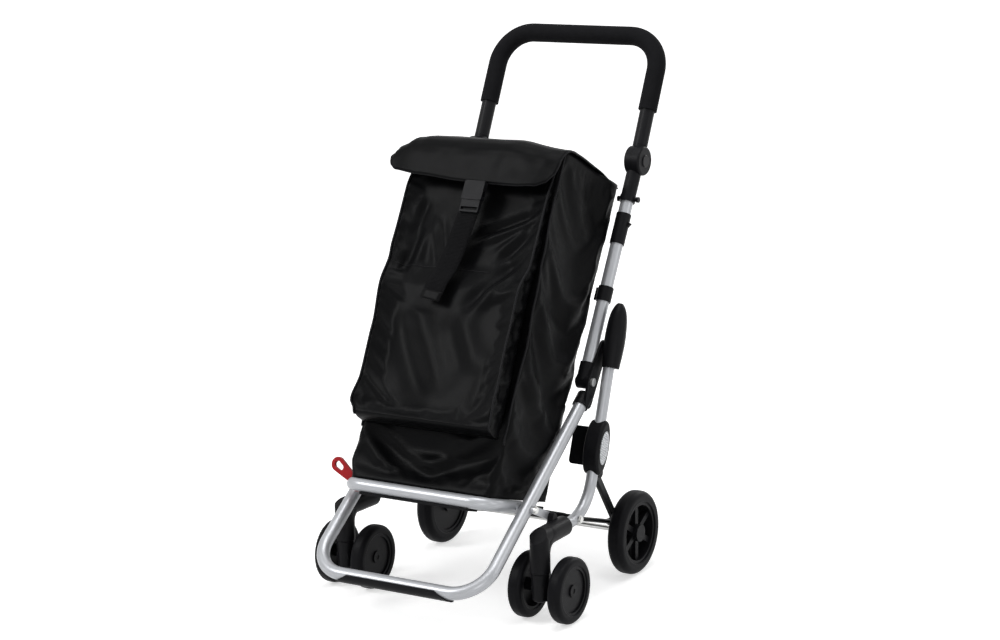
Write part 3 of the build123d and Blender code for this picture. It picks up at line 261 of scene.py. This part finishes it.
def crease(x, u, x0, u0, x1, u1, width, height):
    """A fold of cloth along a line of the panel: a ridge on one side and a furrow on the other."""
    dx, du = x1 - x0, u1 - u0
    length = math.hypot(dx, du)
    t = ((x - x0) * dx + (u - u0) * du) / (length * length)
    side = ((x - x0) * du - (u - u0) * dx) / length
    fade = smooth(-0.25, 0.2, t) * (1 - smooth(0.75, 1.25, t))
    q = side / width
    return height * fade * q * math.exp(0.5 - q * q / 2)


def drape(name, verts, faces, pins, spare, cap, steps=34):
    """Let a cloth with a share of spare length buckle between its seams, and give the points back.

    No point moves by more than the cap.
    """
    mesh = bpy.data.meshes.new(name)
    mesh.from_pydata([tuple(v) for v in verts], [], faces)
    trial = bpy.data.objects.new(name, mesh)
    bpy.context.scene.collection.objects.link(trial)
    seams = trial.vertex_groups.new(name="seams")
    for index, hold in enumerate(pins):
        if hold > 0:
            seams.add([index], hold, "REPLACE")
    cloth = trial.modifiers.new("cloth", "CLOTH")
    feel = cloth.settings
    feel.quality = 5
    feel.mass = 0.3
    feel.air_damping = 3.0
    feel.tension_stiffness = 30.0
    feel.compression_stiffness = 30.0
    feel.shear_stiffness = 12.0
    feel.bending_stiffness = 2.5
    feel.shrink_min = -spare
    feel.vertex_group_mass = "seams"
    feel.effector_weights.gravity = 0.25
    cloth.collision_settings.use_collision = False
    cloth.point_cache.frame_start = 1
    cloth.point_cache.frame_end = steps
    for step in range(1, steps + 1):
        bpy.context.scene.frame_set(step)
    shaped = trial.evaluated_get(bpy.context.evaluated_depsgraph_get()).data
    moved = []
    for before, after in zip(verts, shaped.vertices):
        shift = after.co - before
        moved.append(before + shift * min(1.0, cap / max(shift.length, 1e-9)))
    bpy.data.objects.remove(trial)
    bpy.data.meshes.remove(mesh)
    bpy.context.scene.frame_set(1)
    return moved


def rounded(half_x, half_y, radius, count):
    """Points round a rounded rectangle, evenly spaced, from the middle of its front."""
    flat_x, flat_y, arc = half_x - radius, half_y - radius, radius * math.pi / 2
    runs = [flat_x, arc, flat_y * 2, arc, flat_x * 2, arc, flat_y * 2, arc, flat_x]
    total = sum(runs)
    points = []
    for k in range(count):
        s = total * k / count
        i = 0
        while s > runs[i]:
            s -= runs[i]
            i += 1
        turn = s / radius
        c, d = math.cos(turn) * radius, math.sin(turn) * radius
        points.append(
            [
                (s, half_y),
                (flat_x + d, flat_y + c),
                (half_x, flat_y - s),
                (flat_x + c, -flat_y - d),
                (flat_x - s, -half_y),
                (-flat_x - d, -flat_y - c),
                (-half_x, -flat_y + s),
                (-flat_x - c, flat_y + d),
                (-flat_x + s, half_y),
            ][i]
        )
    return points


# Bag body: rings from the platform up to the mouth, draped between its corner seams
BAG_HALF_WIDTH, BAG_HALF_DEPTH, BAG_CORNER = 158.0, 104, 14
BAG_BACK_HALF_WIDTH = 155.0
BAG_ROWS, BAG_AROUND = 112, 176
BAG_SEWN_ROWS = 3
SEAM_BAND, PANEL_EDGE = 7, 8
SIDE_SWELL = 5.0
BAG_WALL = 0.0022

# Up and ahead of the front and back panels, and half widths to the left and right, by share of the height
front_line = [
    (0.0, (-284.5, 190.0)), (0.12, (-207.0, 184.0)), (0.17, (-172.0, 199.0)), (0.7, (186.0, 206.0)),
    (1.0, (389.0, 207.0)),
]
back_line = [(0.0, (-237.0, -22.0)), (0.22, (-100.0, -6.0)), (1.0, (396.0, -6.0))]
left_line = [
    (0.0, 156.0), (0.06, 168.0), (0.12, 165.0), (0.17, 156.0), (0.28, 156.0), (0.42, 161.0), (0.54, 169.0),
    (0.69, 177.0), (0.86, 181.0), (1.0, 174.0),
]
right_line = [
    (0.0, 155.0), (0.17, 157.0), (0.42, 159.0), (0.55, 154.0), (0.69, 150.0), (0.82, 145.0), (1.0, 144.0),
]
# Folds of cloth, from a point to a point of the panel, with a width and a height
front_folds = [
    (150, -176, 40, -205, 12, 7.0),
    (140, -190, -20, -250, 14, 6.0),
    (-150, -180, -70, -240, 14, 5.0),
    (60, -270, -60, -215, 12, 4.0),
]
side_folds = [
    (-60, 270, 70, 330, 24, 3.0),
    (-60, 150, 80, 225, 26, 4.0),
    (-60, 20, 70, 100, 26, 4.0),
    (-60, -120, 60, -10, 26, 5.0),
    (95, -190, 10, -60, 20, 5.0),
    (90, 160, 60, 60, 18, 4.0),
    (80, 60, 40, -80, 24, 4.0),
]
outline = rounded(BAG_HALF_WIDTH, BAG_HALF_DEPTH, BAG_CORNER, BAG_AROUND)
corners = [
    c for c, (x, y) in enumerate(outline)
    if abs(x) > BAG_HALF_WIDTH - SEAM_BAND and abs(y) > BAG_HALF_DEPTH - SEAM_BAND
]
bag_rows, pins = [], []
for r in range(BAG_ROWS + 1):
    s = r / BAG_ROWS
    (front_up, front_ahead), (back_up, back_ahead) = straight(front_line, s), straight(back_line, s)
    sewn = r < BAG_SEWN_ROWS or r > BAG_ROWS - BAG_SEWN_ROWS
    loose = smooth(0, 0.05, s) * (1 - smooth(0.95, 1.0, s))
    line = []
    for c, (x, y) in enumerate(outline):
        t = (y / BAG_HALF_DEPTH + 1) / 2
        half = along(left_line if x < 0 else right_line, s)
        wide = x / BAG_HALF_WIDTH * mix(BAG_BACK_HALF_WIDTH, half, smooth(0.1, 0.45, t))
        u, v = mix(back_up, front_up, t), mix(back_ahead, front_ahead, t)
        front = smooth(BAG_HALF_DEPTH - PANEL_EDGE, BAG_HALF_DEPTH, y)
        side = smooth(BAG_HALF_WIDTH - PANEL_EDGE, BAG_HALF_WIDTH, abs(x)) * (1 - front)
        fold = front * sum(crease(x, u, *f) for f in front_folds)
        belly = SIDE_SWELL * (1 - (y / BAG_HALF_DEPTH) ** 2) * math.sin(math.pi * s)
        swell = side * (sum(crease(y, u, *f) for f in side_folds) + belly)
        ahead = v + fold * loose + cloudy(x, u, y, 40) * loose
        line.append(at(wide + math.copysign(swell * loose, x), u, ahead))
        pins.append(1.0 if sewn or c in corners else 0.0)
    bag_rows.append(line)
verts, faces = skin(bag_rows, True)
verts = drape("bag_trial", verts, faces, pins, spare=0.022, cap=0.016)
bag_rows = [verts[r * BAG_AROUND:(r + 1) * BAG_AROUND] for r in range(BAG_ROWS + 1)]
faces.append(tuple(range(BAG_AROUND))[::-1])
bag = mesh_object("bag_cloth", verts, faces, "bag_fabric", "upright")
thicken(bag, BAG_WALL, INWARD)
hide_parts("bag_body")

# A fixed strip closes the top behind the lid
STRIP_HALF_WIDTH, STRIP_UP = 151, 391.5
STRIP_BACK, STRIP_FRONT = -7, 14
STRIP_ROWS, STRIP_COLUMNS = 6, 30
STRIP_WALL = 0.002
strip = []
across = [mix(-STRIP_HALF_WIDTH, STRIP_HALF_WIDTH, c / STRIP_COLUMNS) for c in range(STRIP_COLUMNS + 1)]
for r in range(STRIP_ROWS + 1):
    v = mix(STRIP_BACK, STRIP_FRONT, r / STRIP_ROWS)
    strip.append([at(x, STRIP_UP, v) for x in across])
verts, faces = skin(strip, False)
top_strip = mesh_object("bag_top_strip", verts, faces, "bag_fabric", "upright")
thicken(top_strip, STRIP_WALL, INWARD)

# Front pocket: a wedge that deepens towards its foot, draped between its piped edges.
# Its gussets start at the root, which is sunk in the bag's front
POCKET_TOP, POCKET_LOW = 362.0, -166.0
POCKET_ROOT, POCKET_SUNK = 198, 7
POCKET_ROWS, PANEL, GUSSET = 98, 60, 7
POCKET_COLUMNS = GUSSET + PANEL + GUSSET
POCKET_EDGE_ROWS, POCKET_EDGE_COLUMNS = 5, 8
POCKET_LUMPS, GUSSET_SLACK = 1.5, 5.0
POCKET_WALL = 0.0018
FOOT_ROLL = 0.011
FOOT_STEPS = (0.97, 0.85, 0.6, 0.3, 0.0)


def pocket_depth(u):
    table = [
        (POCKET_LOW, 35.0), (-130.0, 38.0), (90.0, 35.0), (152.0, 18.0), (290.0, 10.0), (POCKET_TOP, 2.0),
    ]
    return along(table, u)


def pocket_left(u):
    table = [
        (POCKET_LOW, 149.0), (-146.0, 160.0), (-98.0, 152.0), (0.0, 156.0), (90.0, 165.0), (180.0, 173.0),
        (290.0, 178.0), (POCKET_TOP, 172.0),
    ]
    return along(table, u)


def pocket_right(u):
    table = [
        (POCKET_LOW, 147.0), (-100.0, 145.0), (0.0, 140.0), (120.0, 136.0), (156.0, 139.0), (280.0, 134.0),
        (POCKET_TOP, 134.0),
    ]
    return along(table, u)


pocket_folds = [
    (134, 262, 8, 200, 8, -9.0),
    (118, 226, 62, 172, 8, 6.0),
    (104, 152, 40, 62, 12, -8.0),
    (-140, 268, -146, 200, 9, 6.0),
    (-118, 205, -124, 120, 10, -7.0),
    (-92, 225, -60, 140, 9, 5.0),
    (-96, 40, -6, -110, 22, 7.0),
    (14, 30, 66, -66, 20, -6.0),
    (-136, 60, -140, -80, 16, 5.0),
    (116, -30, 112, -140, 14, 4.0),
]
pocket_seams = (0, GUSSET, GUSSET + PANEL, POCKET_COLUMNS)
pocket_rows, pins = [], []
for r in range(POCKET_ROWS + 1):
    u = mix(POCKET_LOW, POCKET_TOP, r / POCKET_ROWS)
    deep, low, high = pocket_depth(u), -pocket_left(u), pocket_right(u)
    loose = smooth(0, POCKET_EDGE_ROWS, r) * (1 - smooth(POCKET_ROWS - POCKET_EDGE_ROWS, POCKET_ROWS, r))
    line = []
    for c in range(POCKET_COLUMNS + 1):
        k = c - GUSSET
        x = mix(low, high, min(max(k / PANEL, 0), 1))
        rise = min(c, GUSSET, POCKET_COLUMNS - c) / GUSSET
        inside = smooth(0, POCKET_EDGE_COLUMNS, k) * (1 - smooth(PANEL - POCKET_EDGE_COLUMNS, PANEL, k))
        lumps = POCKET_LUMPS * cloudy(x, u, 5, 45)
        lift = inside * loose * (sum(crease(x, u, *f) for f in pocket_folds) + lumps)
        slack = (GUSSET_SLACK * cloudy(c * 6, u, 50, 16) if 0 < rise < 1 else 0) * loose
        line.append(at(x + slack, u, POCKET_ROOT + (deep + POCKET_SUNK) * rise + lift))
        pins.append(1.0 if r in (0, POCKET_ROWS) or c in pocket_seams else 0.0)
    pocket_rows.append(line)
verts, faces = skin(pocket_rows, False)
verts = drape("pocket_trial", verts, faces, pins, spare=0.028, cap=0.014)
width = POCKET_COLUMNS + 1
pocket_rows = [verts[r * width:(r + 1) * width] for r in range(POCKET_ROWS + 1)]
# The foot turns under in a soft roll back to the bag
roll = []
for step in FOOT_STEPS:
    drop = UP * (FOOT_ROLL * math.sqrt(1 - step * step))
    line = []
    for q in pocket_rows[0]:
        proud = (q - HINGE).dot(AHEAD) * 1000 - (POCKET_ROOT - 1)
        line.append(q - AHEAD * ((1 - step) * max(proud, 0) * MM) - drop)
    roll.append(line)
pocket_rows = roll[::-1] + pocket_rows
verts, faces = skin(pocket_rows, False)
pocket = mesh_object("pocket_cloth", verts, faces, "bag_fabric", "upright")
thicken(pocket, POCKET_WALL, INWARD)
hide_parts("front_pocket")

# Piping along the pocket's and the bag's front edges, and a seam across the pocket
POCKET_CORD, BAG_CORD, SEAM_CORD = 0.0019, 0.0021, 0.0008
CORD_INSET = 3
POCKET_CORD_PROUD, BAG_CORD_PROUD, SEAM_CORD_PROUD = 0.0006, 0.0008, 0.0003
POCKET_CORD_START, BAG_CORD_START = 3, 17
SEAM_UP, SEAM_COLUMNS = 138, slice(GUSSET + 3, GUSSET + 44)
soft_pieces = [bag, top_strip, pocket]
for side in (-1, 1):
    edge = GUSSET if side < 0 else GUSSET + PANEL
    push = AHEAD * POCKET_CORD_PROUD
    shift = Vector((side * POCKET_CORD_PROUD, 0, 0))
    cord = [line[edge] + push + shift for line in pocket_rows[POCKET_CORD_START:]]
    soft_pieces.append(piping_along(f"pocket_piping_{side + 1}", cord, POCKET_CORD, "upright"))
    corner_x, corner_y = side * (BAG_HALF_WIDTH - CORD_INSET), BAG_HALF_DEPTH - CORD_INSET
    nearest = min(
        range(BAG_AROUND), key=lambda c: (outline[c][0] - corner_x) ** 2 + (outline[c][1] - corner_y) ** 2
    )
    push = (AHEAD + Vector((side, 0, 0))).normalized() * BAG_CORD_PROUD
    cord = [line[nearest] + push for line in bag_rows[BAG_CORD_START:]]
    soft_pieces.append(piping_along(f"bag_piping_{side + 1}", cord, BAG_CORD, "upright"))
seam_row = len(roll) + round((SEAM_UP - POCKET_LOW) / (POCKET_TOP - POCKET_LOW) * POCKET_ROWS)
cord = [q + AHEAD * SEAM_CORD_PROUD for q in pocket_rows[seam_row][SEAM_COLUMNS]]
soft_pieces.append(piping_along("pocket_seam", cord, SEAM_CORD, "upright", sides=6))

# Lid: one cloth panel over the mouth that rolls down into the front skirt, and droops at its ends.
# The path gives ahead and up, from behind the mouth to the foot of the skirt
path = [
    (22, 396.5), (50, 398.5), (100, 400.5), (150, 401.5), (190, 400.5), (210, 397), (223, 390), (231, 380),
    (235, 368), (236, 352), (235, 330), (233, 290),
]
HALFWAY, FRONT, BEND, SKIRT = 2, 4, 6, 8
LID_ROWS, LID_COLUMNS = 72, 84
LID_WALL = 0.0026
HEM_CORD, HEM_START = 0.0018, 20
RIGHT_DROOP = 13
LEFT_FLARE, RIGHT_TUCK = 7, 5
TOP_LUMPS, SKIRT_LUMPS, SKIRT_RIPPLES, HEM_WAVE = 2.5, 4.0, 1.6, 2.5
FRINGE = 40
# Ends of the lid by share of the path, then its droop and the height of its hem by share of the width
left_edge = [(0.0, -150.0), (0.3, -166.0), (0.5, -186.0), (0.7, -214.0), (1.0, -222.0)]
right_edge = [(0.0, 148.0), (0.4, 148.0), (0.6, 156.0), (0.75, 153.0), (1.0, 132.0)]
left_droop = [(0.0, 40.0), (0.045, 20.0), (0.11, 4.0), (0.18, 0.0), (1.0, 0.0)]
hem_line = [
    (0.0, 338.0), (0.02, 322.0), (0.06, 314.0), (0.2, 310.0), (0.5, 304.0), (0.82, 300.0), (0.93, 303.0),
    (0.975, 312.0), (1.0, 332.0),
]
lengths = [0]
for (v0, u0), (v1, u1) in zip(path, path[1:]):
    lengths.append(lengths[-1] + math.hypot(v1 - v0, u1 - u0))
lid_path = list(zip(lengths, path))

lid_rows = []
for r in range(LID_ROWS + 1):
    line = []
    for c in range(LID_COLUMNS + 1):
        e = c / LID_COLUMNS
        # The hem has round corners, and the left end droops over the bag's side
        droop = along(left_droop, e) + RIGHT_DROOP * smooth(0.7, 1.0, e)
        end = max(lengths[SKIRT] + path[SKIRT][1] - droop - along(hem_line, e), lengths[BEND])
        s = end * r / LID_ROWS
        v, u = straight(lid_path, s)
        ahead = smooth(lengths[HALFWAY], lengths[BEND], s)
        skirt = smooth(lengths[FRONT], lengths[SKIRT], s)
        fringe = smooth(0, FRINGE, end - s)
        share = s / lengths[-1]
        x = mix(along(left_edge, share), along(right_edge, share), e)
        u -= droop * mix(0.25, 1.0, ahead)
        v += skirt * (LEFT_FLARE * (1 - smooth(0.0, 0.2, e)) - RIGHT_TUCK * smooth(0.9, 1.0, e))
        u += (1 - skirt) * TOP_LUMPS * cloudy(x, v, 3, 60)
        uneven = SKIRT_LUMPS * cloudy(x, u, 11, 75) + SKIRT_RIPPLES * cloudy(x, u, 40, 32)
        v += skirt * uneven * (0.4 + 0.6 * fringe)
        v += skirt * HEM_WAVE * math.sin(2.6 * math.pi * e + 0.6) * (1 - fringe)
        line.append(at(x, u, v))
    lid_rows.append(line)
verts, faces = skin(lid_rows, False)
lid = mesh_object("lid_cloth", verts, faces, "bag_fabric", "lid")
thicken(lid, LID_WALL, INWARD)
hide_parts("bag_lid")
left_side = [line[0] for line in lid_rows[HEM_START:]]
right_side = [line[-1] for line in lid_rows[HEM_START:-1]]
lid_hem = piping_along("lid_piping", left_side + lid_rows[-1][1:] + right_side[::-1], HEM_CORD, "lid")

# Strap tail: webbing that hangs from the buckle to its folded end tag
STRAP_TOP, STRAP_LOW, STRAP_HALF_WIDTH = 236, 60, 22
STRAP_TOP_AHEAD, STRAP_LEAST_AHEAD, STRAP_CLEAR = 242.5, 236, 6.5
STRAP_X, STRAP_SLANT, STRAP_CURL, STRAP_TWIST, STRAP_CROWN = -9, 29, 4, -0.15, 0.8
STRAP_ROWS, TAG_ROWS = 48, 6
STRAP_WALL, TAG_WALL, TAG_PROUD = 0.0018, 0.001, 0.0016
strap_rows = []
for r in range(STRAP_ROWS + 1):
    s = r / STRAP_ROWS
    u = mix(STRAP_TOP, STRAP_LOW, s)
    lie = POCKET_ROOT + pocket_depth(u) + POCKET_SUNK + STRAP_CLEAR
    v = mix(STRAP_TOP_AHEAD, max(lie, STRAP_LEAST_AHEAD), smooth(0.0, 0.5, s))
    x = STRAP_X - STRAP_SLANT * s - STRAP_CURL * s * s
    line = []
    for e in (-1, -0.6, -0.2, 0.2, 0.6, 1):
        off = STRAP_HALF_WIDTH * e
        line.append(at(x + off, u + off * (STRAP_TWIST * s), v + STRAP_CROWN * (1 - e * e)))
    strap_rows.append(line)
verts, faces = skin(strap_rows, False)
strap = mesh_object("strap_webbing", verts, faces, "bag_webbing", "plug")
thicken(strap, STRAP_WALL, BOTH_WAYS)
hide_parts("strap_tail")
tag_rows = [[q + AHEAD * TAG_PROUD for q in line] for line in strap_rows[-TAG_ROWS:]]
verts, faces = skin(tag_rows, False)
tag = mesh_object("strap_tag", verts, faces, "bag_fabric", "plug")
thicken(tag, TAG_WALL, BOTH_WAYS)

# A short webbing loop carries the buckle from under the hem
LOOP_X, LOOP_HALF_WIDTH = -8, 17
LOOP_TOP, LOOP_LOW = 330, 297
LOOP_BEHIND, LOOP_AHEAD = 224, 240
LOOP_ROWS = 12
loop_rows = []
for r in range(LOOP_ROWS + 1):
    s = r / LOOP_ROWS
    u, v = mix(LOOP_TOP, LOOP_LOW, s), mix(LOOP_BEHIND, LOOP_AHEAD, smooth(0.55, 1.0, s))
    loop_rows.append([at(LOOP_X + LOOP_HALF_WIDTH * e, u, v) for e in (-1, -0.5, 0, 0.5, 1)])
verts, faces = skin(loop_rows, False)
loop = mesh_object("buckle_loop", verts, faces, "bag_webbing", "lid")
thicken(loop, STRAP_WALL, BOTH_WAYS)

# The cloth pieces, the board and the buckle each get their own copy of their mesh
flattened = [frame["nodes"][name] for name in ("bag_base_board", "buckle_socket", "buckle_plug")]
for piece in soft_pieces + [lid, lid_hem, strap, tag, loop] + flattened:
    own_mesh(piece)

# Stage: a pale floor that glows to white away from the object, soft lamps and the photograph's camera
FLOOR_HALF = 30
FLOOR_GLOW, GLOW_NEAR, GLOW_FAR = 0.58, 0.8, 3.0
ROOM_LIGHT = 0.2
WHITE = (1, 1, 1, 1)
scene = bpy.context.scene


def seen(nodes, links):
    """One for rays that the camera sees directly, in a mirror or through glass, and zero for the rest."""
    rays = nodes.new("ShaderNodeLightPath")
    total = rays.outputs["Is Camera Ray"]
    for kind in ("Is Glossy Ray", "Is Transmission Ray"):
        either = nodes.new("ShaderNodeMath")
        either.operation = "MAXIMUM"
        links.new(total, either.inputs[0])
        links.new(rays.outputs[kind], either.inputs[1])
        total = either.outputs["Value"]
    return total


def floor_paint():
    mat = bpy.data.materials.new("pale floor")
    mat.use_nodes = True
    nodes, links = mat.node_tree.nodes, mat.node_tree.links
    shader = nodes["Principled BSDF"]
    shader.inputs["Roughness"].default_value = 0.6
    shader.inputs["Specular IOR Level"].default_value = 0.2
    shader.inputs["Emission Color"].default_value = WHITE
    place = nodes.new("ShaderNodeTexCoord")
    away = nodes.new("ShaderNodeVectorMath")
    away.operation = "LENGTH"
    links.new(place.outputs["Object"], away.inputs[0])
    glow = nodes.new("ShaderNodeMapRange")
    glow.inputs["From Min"].default_value = GLOW_NEAR
    glow.inputs["From Max"].default_value = GLOW_FAR
    glow.inputs["To Min"].default_value = FLOOR_GLOW
    glow.inputs["To Max"].default_value = 1.0
    links.new(away.outputs["Value"], glow.inputs["Value"])
    light = nodes.new("ShaderNodeMath")
    light.operation = "MULTIPLY"
    links.new(seen(nodes, links), light.inputs[0])
    links.new(glow.outputs["Result"], light.inputs[1])
    links.new(light.outputs["Value"], shader.inputs["Emission Strength"])
    cloud = nodes.new("ShaderNodeTexNoise")
    cloud.inputs["Scale"].default_value = 3.0
    links.new(place.outputs["Object"], cloud.inputs["Vector"])
    shade = nodes.new("ShaderNodeMix")
    shade.data_type = "RGBA"
    shade.inputs["A"].default_value = (0.78, 0.78, 0.78, 1)
    shade.inputs["B"].default_value = (0.80, 0.80, 0.80, 1)
    links.new(cloud.outputs["Fac"], shade.inputs["Factor"])
    links.new(shade.outputs["Result"], shader.inputs["Base Color"])
    return mat


floor_mesh = bpy.data.meshes.new("floor")
floor_corners = [(x * FLOOR_HALF, y * FLOOR_HALF, 0) for x, y in ((-1, -1), (1, -1), (1, 1), (-1, 1))]
floor_mesh.from_pydata(floor_corners, [], [(0, 1, 2, 3)])
floor_mesh.materials.append(floor_paint())
floor = bpy.data.objects.new("floor", floor_mesh)
scene.collection.objects.link(floor)

# The world is white to the camera and dimmer as a light
world = bpy.data.worlds.new("studio")
scene.world = world
world.use_nodes = True
nodes, links = world.node_tree.nodes, world.node_tree.links
backdrop = nodes["Background"]
backdrop.inputs["Color"].default_value = WHITE
backdrop.inputs["Strength"].default_value = 1.0
room = nodes.new("ShaderNodeBackground")
room.inputs["Color"].default_value = WHITE
room.inputs["Strength"].default_value = ROOM_LIGHT
pick = nodes.new("ShaderNodeMixShader")
links.new(seen(nodes, links), pick.inputs["Fac"])
links.new(room.outputs["Background"], pick.inputs[1])
links.new(backdrop.outputs["Background"], pick.inputs[2])
links.new(pick.outputs["Shader"], nodes["World Output"].inputs["Surface"])


def softbox(name, place, target, width, height, power):
    """A soft rectangular lamp that faces a target."""
    data = bpy.data.lights.new(name, "AREA")
    data.shape = "RECTANGLE"
    data.size = width
    data.size_y = height
    data.energy = power
    lamp = bpy.data.objects.new(name, data)
    scene.collection.objects.link(lamp)
    lamp.location = place
    lamp.rotation_euler = (Vector(target) - Vector(place)).to_track_quat("-Z", "Y").to_euler()


MIDDLE = (0, 0, 0.5)
softbox("key", (-1.9, -2.4, 2.7), MIDDLE, width=1.1, height=1.3, power=66)
softbox("side", (3.2, 0.4, 1.7), MIDDLE, width=1.0, height=2.0, power=15)
softbox("top", (0.2, -0.3, 3.3), MIDDLE, width=2.0, height=1.6, power=52)
softbox("back", (0.6, 3.4, 1.9), MIDDLE, width=1.6, height=1.2, power=30)
softbox("front", (2.6, -2.9, 0.9), (0, 0, 0.4), width=1.0, height=1.0, power=16)

camera_data = bpy.data.cameras.new("camera")
camera_data.lens = 85.28
camera_data.sensor_width = 36.0
camera = bpy.data.objects.new("camera", camera_data)
scene.collection.objects.link(camera)
camera.location = (2.3416, -3.7810, 1.4386)
camera.rotation_euler = [math.radians(angle) for angle in (78.2572, 0.9095, 31.4016)]
scene.camera = camera
scene.view_settings.view_transform = "Standard"
